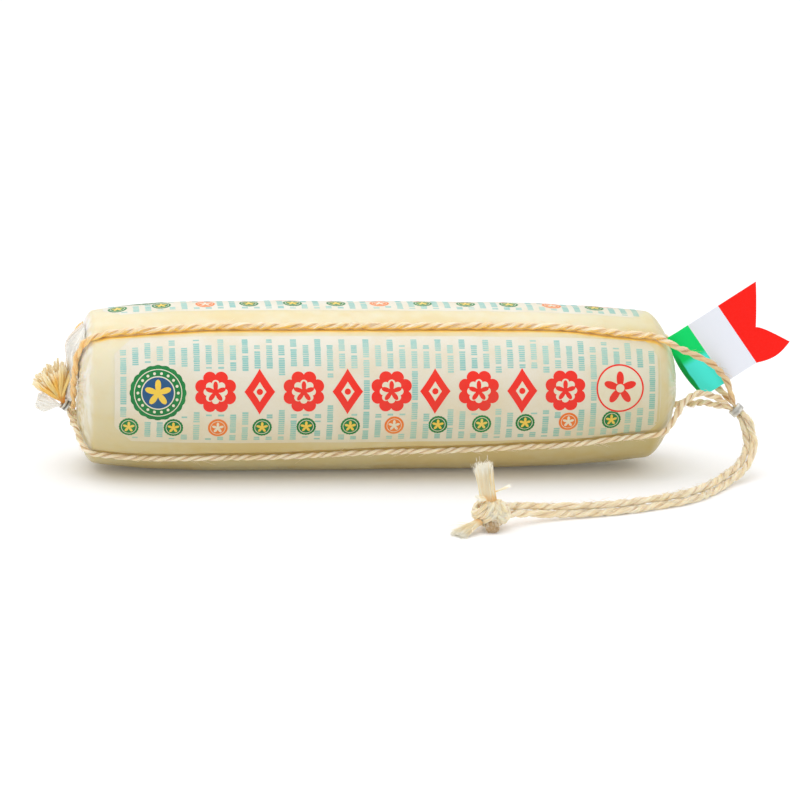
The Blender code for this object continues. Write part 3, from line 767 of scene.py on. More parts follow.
# --- The log's shape --------------------------------------------------------------------------
@dataclass(frozen=True)
class LogShape:
    """The log as a surface of two parameters, the place x along it and the angle from the front up."""

    left_end: float = -0.2130
    right_end: float = 0.2175
    radius: float = 0.0600
    axis_height: float = 0.0592
    taper: float = 0.090
    depths: tuple[float, float] = (0.0125, 0.0220)
    powers: tuple[float, float] = (2.0, 1.73)
    narrowing: tuple[float, float] = (0.155, 0.155)
    narrowing_powers: tuple[float, float] = (5.0, 3.5)
    dimple_depth: float = 0.0030
    dimple_radius: float = 0.025
    groove_radius: float = 0.0034
    rope_lift: float = 0.0011
    free_lift: float = 0.0033
    sinking: tuple[float, float] = (0.0480, 0.0555)
    stations: tuple[float, ...] = (-0.213, -0.190, -0.100, 0.025, 0.120, 0.190, 0.213)
    rope_angles: dict[str, tuple[float, ...]] = field(
        default_factory=lambda: {
            "rope_front_upper": (49.0, 54.5, 56.6, 56.9, 57.8, 53.0, 49.0),
            "rope_back_upper": (134.0, 141.0, 145.0, 146.0, 146.0, 141.0, 137.0),
            "rope_back_lower": (-136.0, -130.0, -127.0, -126.0, -127.0, -132.0, -136.0),
            "rope_front_lower": (-45.0, -46.0, -41.8, -36.2, -33.3, -28.0, -26.0),
        }
    )

    def body_radius(self, x: Array) -> Array:
        """Radius away from the rounded ends: a taper, narrowed by a power of x towards each end."""
        left = 1 - self.narrowing[0] * np.maximum(x / self.left_end, 0) ** self.narrowing_powers[0]
        right = 1 - self.narrowing[1] * np.maximum(x / self.right_end, 0) ** self.narrowing_powers[1]
        return self.radius * left * right * (1 - self.taper * x)

    def outline_radius(self, x: Array) -> Array:
        """Radius with the rounded ends: body radius times (1 - s^p)^(1/p) past each shoulder."""
        x = np.asarray(x, float)
        radius = self.body_radius(x)
        for end, depth, power in zip((self.left_end, self.right_end), self.depths, self.powers):
            past = np.clip((np.abs(x) - abs(end) + depth) / depth, 0.0, 1.0) * (x * end > 0)
            radius = radius * (1 - past**power) ** (1 / power)
        return radius

    def dome(self, side: int, count: int) -> Array:
        """One rounded end from shoulder to tip, as (x, radius): a superellipse, dimpled on the left."""
        end, depth, power = ((self.left_end, self.right_end)[side], self.depths[side], self.powers[side])
        angle = np.linspace(0.0, math.pi / 2, count)
        x = end - math.copysign(depth, end) * (1 - np.sin(angle) ** (2 / power))
        radius = self.body_radius(x) * np.cos(angle) ** (2 / power)
        radius[-1] = 0.0
        if side == 0:
            hollow = np.clip(1 - (radius / self.dimple_radius) ** 2, 0, 1) ** 2
            x = x + self.dimple_depth * hollow
        return np.stack([x, radius], axis=1)

    def profile(self, rows: int, dense: int = 400) -> Array:
        """The outline over the axis, left tip to right tip, at even distances along it."""
        left = self.dome(0, dense)[::-1]
        right = self.dome(1, dense)
        x = np.linspace(self.left_end + self.depths[0], self.right_end - self.depths[1], dense)[1:-1]
        whole = np.vstack([left, np.stack([x, self.body_radius(x)], axis=1), right])
        places = np.concatenate([[0.0], np.cumsum(np.hypot(*np.diff(whole, axis=0).T))])
        wanted = np.linspace(0.0, places[-1], rows)
        return np.stack([np.interp(wanted, places, whole[:, k]) for k in range(2)], axis=1)

    def normals(self, profile: Array) -> Array:
        """The outline's outward normals in its own plane."""
        slope = np.gradient(profile, axis=0)
        return unit(np.stack([-slope[:, 1], slope[:, 0]], axis=1))

    def rope_angle(self, name: str, x: Array) -> Array:
        """A rope's angle round the log at x, in radians, eased between its stations."""
        place = np.interp(x, self.stations, range(len(self.stations)))
        whole = np.minimum(place.astype(int), len(self.stations) - 2)
        part = place - whole
        eased = part * part * (3 - 2 * part)
        angles = np.radians(self.rope_angles[name])
        return angles[whole] * (1 - eased) + angles[whole + 1] * eased

    def lift(self, radius: Array) -> Array:
        """Height of a rope's centre over the cheese: sunk on the barrel, free on the ends."""
        return np.interp(radius, self.sinking, (self.free_lift, self.rope_lift))

    def around(self, x: Array, radius: Array, angle: Array) -> Array:
        """World point at a distance from the axis and an angle from the front up."""
        parts = (x, -radius * np.cos(angle), self.axis_height + radius * np.sin(angle))
        return np.stack(np.broadcast_arrays(*parts), axis=-1)

    def from_ropes(self, x: Array, radius: Array, angle: Array) -> Array:
        """Distance round the log to the nearest rope's middle line."""
        away = []
        for name in self.rope_angles:
            turn = angle - self.rope_angle(name, x)
            away.append(np.abs((turn + math.pi) % TURN - math.pi) * radius)
        return np.min(away, axis=0)

    def groove(self, x: Array, radius: Array, angle: Array) -> Array:
        """Depth of the rope's round groove, with the cheese dipping gently beside it."""
        away = self.from_ropes(x, radius, angle)
        lift = self.lift(radius)
        wide = self.groove_radius * (1 - 0.34 * ease(-x, 0.196, 0.207))
        round_cut = np.sqrt(np.maximum(wide**2 - away**2, 0.0)) - lift
        beside = 0.00055 * np.exp(-((away / 0.0085) ** 2)) * ease(radius, 0.040, 0.052)
        return np.maximum(round_cut, beside)

    def film_folds(self, x: Array, radius: Array, angle: Array) -> Array:
        """Height of the film's own folds over the cheese.

        Long low waves on the barrel, a sum of cosines of x and angle. Towards each end come pleats
        that run to the clip, cosines of the angle whose phase wanders with the radius, and by the
        left shoulder two standing creases that ring the log, narrow bells in x.
        """
        waves = 0.00016 * np.cos(TURN * x / 0.083 + 1.7 * np.cos(2 * angle)) * np.cos(3 * angle + 0.7)
        waves = waves + 0.00010 * np.cos(TURN * x / 0.037 + 2.2 * np.sin(3 * angle) + 1.0)
        wander = 1.4 * np.sin(5 * angle + 90 * radius) + 0.9 * np.sin(9 * angle - 160 * radius)
        pleats = np.cos(31 * angle + wander) + 0.6 * np.cos(53 * angle - 1.3 * wander + 60 * radius)
        left = ease(-x, 0.1990, 0.2075) * np.exp(-(((radius - 0.030) / 0.022) ** 2))
        right = ease(x, 0.1940, 0.2120) * np.exp(-(((radius - 0.028) / 0.022) ** 2))
        pleats = pleats * (0.00040 * left + 0.00030 * right)
        sway = 0.0011 * np.sin(3 * angle + 0.8) + 0.0006 * np.sin(11 * angle) + 0.0004 * np.sin(23 * angle)
        ring = np.zeros(np.broadcast(x, angle).shape)
        for place, width, height in ((-0.2050, 0.0011, 0.00034), (-0.2082, 0.0013, 0.00034)):
            broken = 0.55 + 0.45 * np.sin(7 * angle + 500 * place) * np.sin(4 * angle + 1.3)
            ring = ring + height * broken * np.exp(-(((x - place - sway) / width) ** 2))
        return waves + pleats + ring

    def skin(self, x: Array, radius: Array, normal: Array, angle: Array, lift: float = 0.0) -> Array:
        """World points of the film's surface, or of anything lying a lift above it.

        Args:
            x: Place along the log, shape (rows, 1) or that of angle.
            radius: Radius of the outline there.
            normal: Outward normal there, two parts along the last axis.
            angle: Angle round the log.
            lift: Height over the surface.

        Returns:
            Points, shape (rows, columns, 3), never below the table.
        """
        height = lift + self.film_folds(x, radius, angle) - self.groove(x, radius, angle)
        points = self.around(x + normal[..., 0] * height, radius + normal[..., 1] * height, angle)
        points[..., 2] = np.maximum(points[..., 2], 0.0)
        return points

    def wrapped(self, x: Array, angle: Array, lift: float) -> Array:
        """Points lying a lift above the film at (x, angle), for what is printed on it."""
        step = 0.0004
        radius = self.outline_radius(x)
        slope = (self.outline_radius(x + step) - self.outline_radius(x - step)) / (2 * step)
        return self.skin(x, radius, unit(np.stack([-slope, np.ones_like(slope)], axis=-1)), angle, lift)


@dataclass
class CheeseLog:
    """The wrapped cheese: a fine skin over the log's shape, its columns crowded into the grooves."""

    shape: LogShape
    rows: int = 320
    groove_columns: int = 15
    free_columns: int = 60
    groove_half: float = 0.0050

    def column_angles(self, x: Array, radius: Array) -> Array:
        """Angle of every column in every row: even steps across each groove and between grooves."""
        names = sorted(self.shape.rope_angles, key=lambda name: self.shape.rope_angles[name][3])
        middles = np.stack([self.shape.rope_angle(name, x) for name in names], axis=1)
        half = np.minimum(self.groove_half / np.maximum(radius, 0.004), math.radians(20))[:, None]
        following = np.concatenate([middles[:, 1:], middles[:, :1] + TURN], axis=1)
        across = np.linspace(-1.0, 1.0, self.groove_columns)
        gaps = np.linspace(0.0, 1.0, self.free_columns + 2)[1:-1]
        stretches = []
        for k in range(len(names)):
            start = middles[:, k : k + 1] + half
            end = following[:, k : k + 1] - half
            stretches.append(middles[:, k : k + 1] + half * across)
            stretches.append(start + (end - start) * gaps)
        return np.concatenate(stretches, axis=1)

    def build(self, finish: WrappedCheese) -> bpy.types.Object:
        """Make the skin and let it stand for the CAD log."""
        profile = self.shape.profile(self.rows + 2)
        normals = self.shape.normals(profile)[1:-1]
        x, radius = profile[1:-1].T
        angle = self.column_angles(x, radius)
        rings = self.shape.skin(x[:, None], radius[:, None], normals[:, None, :], angle)
        depth = self.shape.groove(x[:, None], radius[:, None], angle)
        # painted shade: strongest where the rope grooves are deepest, faded out on the left cap
        shade = 0.45 * np.clip(depth / 0.0026, 0.0, 1.0) ** 1.5 * ease(radius, 0.040, 0.050)[:, None]
        shade *= ease(x, -0.209, -0.197)[:, None]
        # painted glow: a narrow band just below the upper front rope, kept off the ends
        below = (self.shape.rope_angle("rope_front_upper", x)[:, None] - angle) * radius[:, None]
        lip = ease(below, 0.0, 0.0015) * ease(-below, -0.0056, -0.0036)
        shade = np.maximum(shade, lip * ease(-np.abs(x), -0.205, -0.196)[:, None])
        tips = tuple(self.shape.around(profile[k, 0], 0.0, 0.0) for k in (0, -1))
        bench = ShellBench()
        bench.tube(rings, shade=shade, tips=tips)
        return seat(bench.write("cheese_skin", finish.make()), "cheese", "cheese_log")


# --- The printed wrapper ----------------------------------------------------------------------
class Motif(Enum):
    """Outlines in polar form: how the radius changes with the angle round the motif's middle."""

    DISC = "disc"
    ROSETTE = "rosette"
    SCALLOPED = "scalloped"
    STAR = "star"
    LEAVES = "leaves"

    def radius(self, turn: Array) -> Array:
        """Radius at each angle, 1 at the outermost point.

        Args:
            turn: Angles in radians, 0 along the log.

        Returns:
            One radius for each angle.
        """
        if self is Motif.ROSETTE:
            return 0.80 + 0.20 * np.abs(np.cos(4 * turn)) ** 0.7
        if self is Motif.SCALLOPED:
            return 0.955 + 0.045 * np.abs(np.cos(10 * turn)) ** 0.8
        if self is Motif.STAR:
            return 1.0 / (np.abs(1.50 * np.cos(turn)) ** 0.95 + np.abs(np.sin(turn)) ** 0.95) ** (1 / 0.95)
        if self is Motif.LEAVES:
            return 0.30 + 0.70 * np.abs(np.cos(2.5 * turn)) ** 1.6
        return np.ones_like(turn)


@dataclass
class Wrapper:
    """Three printed panels round the log: milky ground, rows of teal dashes and plain ornaments."""

    shape: LogShape
    centres: tuple[float, ...] = (10.5, 114.0, 218.0)
    shifts: tuple[float, ...] = (0.0, -0.006, 0.004)
    half_angle: float = 38.5
    ends: tuple[float, float] = (-0.1880, 0.1985)
    corner: float = 0.012
    column_pitch: float = 0.0085
    dash_pitch: float = 0.0016
    dash: tuple[float, float] = (0.0044, 0.0012)
    thickness: float = 0.00008
    layer: float = 0.00004
    benches: dict[str, ShellBench] = field(default_factory=dict)

    def bench(self, ink: str) -> ShellBench:
        """The shells printed in one ink."""
        return self.benches.setdefault(ink, ShellBench())

    def ground(self, centre: float, shift: float) -> None:
        """A milky ground with clipped corners: a grid whose rows shorten near the panel's edges."""
        around = np.linspace(-1.0, 1.0, 46)
        radius = self.shape.radius
        edge = math.radians(self.half_angle) * radius
        from_edge = edge - np.abs(around) * edge
        cut = np.maximum(self.corner - from_edge, 0.0)
        low = self.ends[0] + shift + cut
        high = min(self.ends[1], self.ends[1] + shift) - 0.8 * cut
        share = np.linspace(0.0, 1.0, 150)[:, None]
        x = low + share * (high - low)
        angle = math.radians(centre) + np.broadcast_to(around * math.radians(self.half_angle), x.shape)
        top = self.shape.wrapped(x, angle, 0.00003)
        bottom = self.shape.wrapped(x, angle, -self.thickness)
        spots = np.stack(np.broadcast_arrays(share, around * 0.5 + 0.5), axis=-1)
        self.bench("ground").plate(top, bottom, spots)

    def motif(
        self,
        ink: str,
        kind: Motif,
        x: float,
        angle: float,
        size: float,
        level: int,
        tall: float = 1.0,
        turned: float = 0.0,
    ) -> None:
        """One ornament: rings of its polar outline laid on the film, closed underneath.

        Args:
            ink: Name of the ink.
            kind: Outline.
            x: Place along the log.
            angle: Place round it, in degrees.
            size: Radius in metres.
            level: How many layers of ink lie below it.
            tall: Height over width.
            turned: Angle in degrees that it is turned by.
        """
        big = size > 0.004
        columns, rows = (96, 7) if big else (24, 2)
        turn = np.linspace(0.0, TURN, columns, endpoint=False)
        reach = kind.radius(turn - math.radians(turned)) * size
        share = np.linspace(0.0, 1.0, rows + 1)[1:, None]
        place = x + share * reach * np.cos(turn)
        radius = self.shape.outline_radius(np.array(x))
        across = math.radians(angle) + share * reach * np.sin(turn) * tall / radius
        lift = 0.00005 + level * self.layer
        top = self.shape.wrapped(place, across, lift)
        bottom = self.shape.wrapped(place, across, -self.thickness)
        rings = np.concatenate([top, bottom[::-1]])
        middle = (np.array([x]), np.array([math.radians(angle)]))
        tips = tuple(self.shape.wrapped(*middle, height)[0] for height in (lift, -self.thickness))
        self.bench(ink).tube(rings, tips=tips)

    def loop(
        self, ink: str, kind: Motif, x: float, angle: float, sizes: tuple[float, float], level: int, tall: float = 1.0
    ) -> None:
        """A ring between two outlines of the same kind: its section a flat box carried round."""
        turn = np.linspace(0.0, TURN, 120, endpoint=False)
        radius = self.shape.outline_radius(np.array(x))
        lift = 0.00005 + level * self.layer
        rows = []
        for size, height in (
            (sizes[0], lift), ((sizes[0] + sizes[1]) / 2, lift), (sizes[1], lift),
            (sizes[1], -self.thickness), (sizes[0], -self.thickness),
        ):
            reach = kind.radius(turn) * size
            across = math.radians(angle) + reach * np.sin(turn) * tall / radius
            rows.append(self.shape.wrapped(x + reach * np.cos(turn), across, height))
        rings = np.stack(rows)
        index = np.arange(rings.shape[0] * 120).reshape(rings.shape[0], 120)
        right = np.roll(index, -1, axis=1)
        down, down_right = np.roll(index, -1, axis=0), np.roll(right, -1, axis=0)
        quads = np.stack([index, right, down_right, down], axis=-1).reshape(-1, 4)
        spots = np.zeros((len(quads), 4, 2))
        nothing = (np.zeros((0, 3), int), np.zeros((0, 3, 2)))
        self.bench(ink).shell(rings.reshape(-1, 3), (quads, spots), nothing)

    def dashes(self, centre: float, shift: float, kept_clear: Array) -> None:
        """Teal dashes in columns round the log, in groups, leaving the ornaments clear.

        Every dash is a box of eight corners on the film, all of them worked out at once.

        Args:
            centre: Middle of the panel, in degrees.
            shift: Shift of the panel along the log.
            kept_clear: Rows of (x, arc from the centre, half width, half height) to leave bare.
        """
        draw = np.random.default_rng(int(centre * 10))
        columns = np.arange(self.ends[0] + 0.006, self.ends[1] - 0.004, self.column_pitch) + shift
        edge = math.radians(self.half_angle) * self.shape.radius - 0.0035
        steps = np.arange(-edge, edge, self.dash_pitch)
        x, arc = np.meshgrid(columns, steps, indexing="ij")
        odd = (np.arange(len(columns)) % 2)[:, None]
        phase = draw.integers(0, 23, len(columns))[:, None]
        group = (np.arange(len(steps))[None, :] + phase) % 23
        kept = (group != 22) & (group != 13 - odd)
        kept &= arc < edge - 0.0034 * odd
        near_edge = edge + 0.0035 - np.abs(arc)
        inner = np.minimum(x - self.ends[0] - shift, self.ends[1] - x)
        kept &= inner > 0.0035 + np.maximum(self.corner - near_edge, 0.0)
        for middle, height, half, tall in kept_clear:
            inside = ((x - middle) / (half + 0.0012)) ** 4 + ((arc - height) / (tall + 0.0010)) ** 4 < 1.0
            kept &= ~inside
        x, arc = x[kept], arc[kept]
        width = self.dash[0] * draw.uniform(0.88, 1.0, len(x))
        height = self.dash[1] * draw.uniform(0.80, 1.20, len(x))
        corner = np.array([(-0.5, -0.5), (0.5, -0.5), (0.5, 0.5), (-0.5, 0.5)])
        place = x[:, None] + corner[:, 0] * width[:, None]
        across = math.radians(centre) + (arc[:, None] + corner[:, 1] * height[:, None]) / self.shape.radius
        top = self.shape.wrapped(place, across, 0.00010)
        bottom = self.shape.wrapped(place, across, -0.00002)
        points = np.concatenate([top, bottom], axis=1).reshape(-1, 3)
        box = np.array(
            [(0, 1, 2, 3), (7, 6, 5, 4), (0, 4, 5, 1), (1, 5, 6, 2), (2, 6, 7, 3), (3, 7, 4, 0)]
        )
        quads = (np.arange(len(x))[:, None, None] * 8 + box).reshape(-1, 4)
        nothing = (np.zeros((0, 3), int), np.zeros((0, 3, 2)))
        self.bench("teal").shell(points, (quads, np.zeros((len(quads), 4, 2))), nothing)

    def panel(self, centre: float, shift: float) -> None:
        """One whole panel: ground, ornaments and dashes.

        A band of nine red ornaments, rosettes and long stars in turn, stands between a green
        rosette seal on the left and a plain ring on the right, over a row of small seals.
        """
        radius = self.shape.radius
        self.ground(centre, shift)
        clear: list[tuple[float, float, float, float]] = []
        band = centre - 0.9
        for k, x in enumerate(np.linspace(-0.1180, 0.1290, 9) + shift):
            if k % 2 == 0:
                self.motif("red", Motif.ROSETTE, x, band, 0.0150, 1, turned=22.5)
                self.motif("pale", Motif.ROSETTE, x, band, 0.0084, 2)
                self.motif("red", Motif.LEAVES, x, band, 0.0074, 3, turned=90.0)
                clear.append((x, -0.0009, 0.0150, 0.0150))
            else:
                self.motif("red", Motif.STAR, x, band, 0.0162, 1)
                self.motif("pale", Motif.STAR, x, band, 0.0070, 2)
                self.motif("red", Motif.DISC, x, band, 0.0022, 3)
                clear.append((x, -0.0009, 0.0112, 0.0158))
        seal_x, seal_at = -0.1580 + shift, centre - 1.6
        self.motif("green", Motif.SCALLOPED, seal_x, seal_at, 0.0198, 1)
        self.loop("pale", Motif.DISC, seal_x, seal_at, (0.0162, 0.0168), 2)
        self.motif("pale", Motif.DISC, seal_x, seal_at, 0.0118, 2)
        self.motif("blue", Motif.DISC, seal_x, seal_at, 0.0110, 3)
        self.motif("yellow", Motif.LEAVES, seal_x, seal_at, 0.0094, 4, turned=90.0)
        for turn in np.linspace(0.0, TURN, 18, endpoint=False):
            arc = 0.0140 * math.sin(turn) / radius
            self.motif("pale", Motif.DISC, seal_x + 0.0140 * math.cos(turn), seal_at + math.degrees(arc), 0.0010, 2)
        clear.append((seal_x, -0.0017, 0.0200, 0.0200))
        ring_x, ring_at = 0.1685 + shift, centre + 0.5
        self.motif("pale", Motif.DISC, ring_x, ring_at, 0.0174, 1)
        self.loop("red", Motif.DISC, ring_x, ring_at, (0.0160, 0.0172), 2)
        self.motif("red", Motif.LEAVES, ring_x, ring_at, 0.0120, 2, turned=90.0)
        self.motif("pale", Motif.DISC, ring_x, ring_at, 0.0030, 3)
        clear.append((ring_x, 0.0005, 0.0176, 0.0176))
        for k in range(12):
            x = -0.1780 + k * 0.0310 + shift
            seal = centre - 26.6 + 0.30 * k
            arc = math.radians(seal - centre) * radius
            ink, heart = ("orange", "pale") if k % 4 == 2 else ("green", "yellow")
            self.motif(ink, Motif.DISC if k % 4 == 2 else Motif.SCALLOPED, x, seal, 0.0069, 1)
            self.loop("pale", Motif.DISC, x, seal, (0.0049, 0.0053), 2)
            self.motif(heart, Motif.LEAVES, x, seal, 0.0042, 2, turned=90.0)
            clear.append((x, arc, 0.0069, 0.0069))
        self.dashes(centre, shift, np.array(clear))

    def build(self, inks: Sequence[Print]) -> None:
        """Print every panel and write one piece for each ink."""
        for centre, shift in zip(self.centres, self.shifts):
            self.panel(centre, shift)
        for ink in inks:
            seat(self.benches[ink.name.split("_")[-1]].write(ink.name, ink.make()), "cheese")


# --- Ropes ------------------------------------------------------------------------------------
@dataclass(frozen=True)
class Sleeve:
    """Where a clip sits, which way its far side faces, and the space inside it."""

    centre: tuple[float, float, float]
    axis: tuple[float, float, float]
    half: float
    outer: float
    bore: float = 0.00415

    def frame(self) -> tuple[Array, Array, Array]:
        """Unit vectors along the clip, towards the front, and across both."""
        along = unit(np.array(self.axis))
        front = unit(np.array([0.0, -1.0, 0.0]) + along[1] * along)
        return along, front, np.cross(front, along)


LEFT_SLEEVE = Sleeve((-0.2202, -0.0060, 0.0478), (-0.84, -0.12, 0.53), 0.0022, 0.0049)
RIGHT_SLEEVE = Sleeve((0.2612, -0.0120, 0.0428), (0.74, -0.12, -0.66), 0.0027, 0.0053)


class Twist(Enum):
    """How hard a rope is laid: metres for one turn, relief of its fibres, loose hairs for each metre."""

    HARD = (0.0230, 0.00024, 420)
    SOFT = (0.0270, 0.00040, 1500)
    FINE = (0.0180, 0.00020, 380)


@dataclass
class SisalRope:
    """A rope of two strands turned about each other, with fibres in relief and loose hairs."""

    name: str
    path: Array
    scales: Array
    twist: Twist
    seed: int
    radius: float = 0.0025
    strand_away: float = 0.37
    strand_radius: float = 0.63
    columns: int = 44
    step: float = 0.00075
    outward: Callable[[Array], Array] | None = None

    def fine(self) -> tuple[Array, Array]:
        """The path at close steps with the rope's radius at each, its corners rounded first."""
        soft = smooth_route(self.path, self.step)
        places, own = travelled(soft), travelled(self.path)
        scale = np.interp(places * own[-1] / places[-1], own, self.scales)
        return soft, scale * self.radius

    def surface(self, bench: ShellBench) -> None:
        """Carry the two-strand section along the path.

        The section's radius at an angle p from a strand's middle is a cos p + sqrt(b^2 - a^2 sin^2 p),
        a circle of radius b set a off the middle, taken on each side in turn. It turns once in every
        lay. Fibre relief is a sum of cosines of the angle round the strand and the place along it.

        Args:
            bench: Where the shell goes.
        """
        lay, relief, _ = self.twist.value
        draw = np.random.default_rng(self.seed)
        path, radius = self.fine()
        places = travelled(path)
        along, up, side = framed(path, np.broadcast_to([0.0, 1.0, 0.0], path.shape))
        if self.twist is Twist.SOFT:
            along, up, side = framed(path, np.broadcast_to([0.0, 0.0, 1.0], path.shape))
        uneven = sum(
            0.40 * np.sin(TURN * places / size + draw.uniform(0, TURN)) for size in (0.031, 0.057, 0.113)
        )
        turn = TURN * places / lay + uneven
        angle = np.linspace(0.0, TURN, self.columns, endpoint=False)
        near = np.cos(angle)
        reach = self.strand_away * np.abs(near) + np.sqrt(
            self.strand_radius**2 - self.strand_away**2 * (1 - near**2)
        )
        aside = np.sin(angle) * np.sign(near + 1e-9)
        about = np.arctan2(reach * aside, reach * np.abs(near) - self.strand_away)
        strand = (near < 0).astype(float)
        height = np.zeros((len(path), self.columns))
        for _ in range(9):
            folds, pace = draw.integers(3, 12), draw.uniform(180.0, 620.0) * draw.choice((-1.0, 1.0))
            phase = draw.uniform(0, TURN) + strand * draw.uniform(0, TURN)
            fade = 0.6 + 0.4 * np.sin(places[:, None] * draw.uniform(60, 190) + draw.uniform(0, TURN))
            height += fade * np.cos(folds * about + pace * places[:, None] + phase)
        swell = 1.0 + 0.05 * np.sin(TURN * places / 0.019 + draw.uniform(0, TURN))
        whole = radius[:, None] * reach * swell[:, None] + relief * 0.33 * height * (radius / self.radius)[:, None]
        direction = angle[None, :] - turn[:, None]
        rings = path[:, None, :] + whole[..., None] * (
            np.cos(direction)[..., None] * up[:, None] + np.sin(direction)[..., None] * side[:, None]
        )
        # painted shade: darker where the section dips between the strands and in the hollows of the fibre relief, kept
        # as the shade attribute
        painted_crevice_shade = np.clip((1.0 - reach) / 0.45, 0.0, 1.0) * np.ones((len(path), 1))
        painted_crevice_shade = np.clip(0.75 * painted_crevice_shade - 0.10 * height, 0.0, 1.0)
        girth = np.concatenate([about, about[:1] + TURN]) * self.strand_radius * self.radius
        girth = girth + np.concatenate([strand, [0.0]]) * 0.05
        spots = np.stack(
            np.broadcast_arrays(places[:, None], girth[None, :] + 0.22 * places[:, None] * 0.05), axis=-1
        )
        bench.tube(rings, spots, painted_crevice_shade)

    def hairs(self, bench: ShellBench) -> None:
        """Loose hairs: thin arcs that leave the rope at a shallow angle and bend away.

        Each is p + t L (cos a T + sin a O) + t^2 c S, with T along the rope, O outwards, S aside.

        Args:
            bench: Where the hairs go.
        """
        draw = np.random.default_rng(self.seed + 100)
        path, radius = self.fine()
        many = int(self.twist.value[2] * travelled(path)[-1])
        at = draw.integers(4, len(path) - 4, many)
        away = self.outward(path[at]) if self.outward else np.broadcast_to([0.0, 0.0, 1.0], (many, 3))
        along, up, side = (part[at] for part in framed(path, np.broadcast_to([0.0, 1.0, 0.0], path.shape)))
        away = unit(away - (away * along).sum(-1, keepdims=True) * along)
        aside = np.cross(along, away)
        round_it = draw.uniform(-1.35, 1.35, (many, 1))
        out = np.cos(round_it) * away + np.sin(round_it) * aside
        start = path[at] + out * (radius[at] * 0.86)[:, None]
        length = draw.uniform(0.0022, 0.0080, (many, 1, 1)) * draw.choice((0.6, 1.0, 1.0, 1.35), (many, 1, 1))
        share = np.linspace(0.0, 1.0, 6)[None, :, None]
        tilt = draw.uniform(0.08, 0.55, (many, 1))
        way = draw.choice((-1.0, 1.0), (many, 1))
        lean = np.cos(tilt) * along * way + np.sin(tilt) * out
        curl = draw.normal(0.0, 0.28, (many, 1)) * np.cross(lean, out) - 0.22 * np.abs(draw.normal(0, 0.5, (many, 1))) * out
        paths = start[:, None] + share * length * lean[:, None] + share**2 * length * curl[:, None]
        paths[..., 2] = np.maximum(paths[..., 2], 0.0003)
        thick = draw.uniform(0.00008, 0.00018, (many, 1)) * np.linspace(1.0, 0.40, 6)
        bench.hairs(paths, thick, draw.uniform(0.0, 0.25, many))

    def build(self, finish: bpy.types.Material, *stands_for: str) -> bpy.types.Object:
        """Make the rope without its hairs, which are a piece of their own."""
        bench = ShellBench()
        self.surface(bench)
        return seat(bench.write(self.name, finish, sharp=75.0), "sisal", *stands_for)


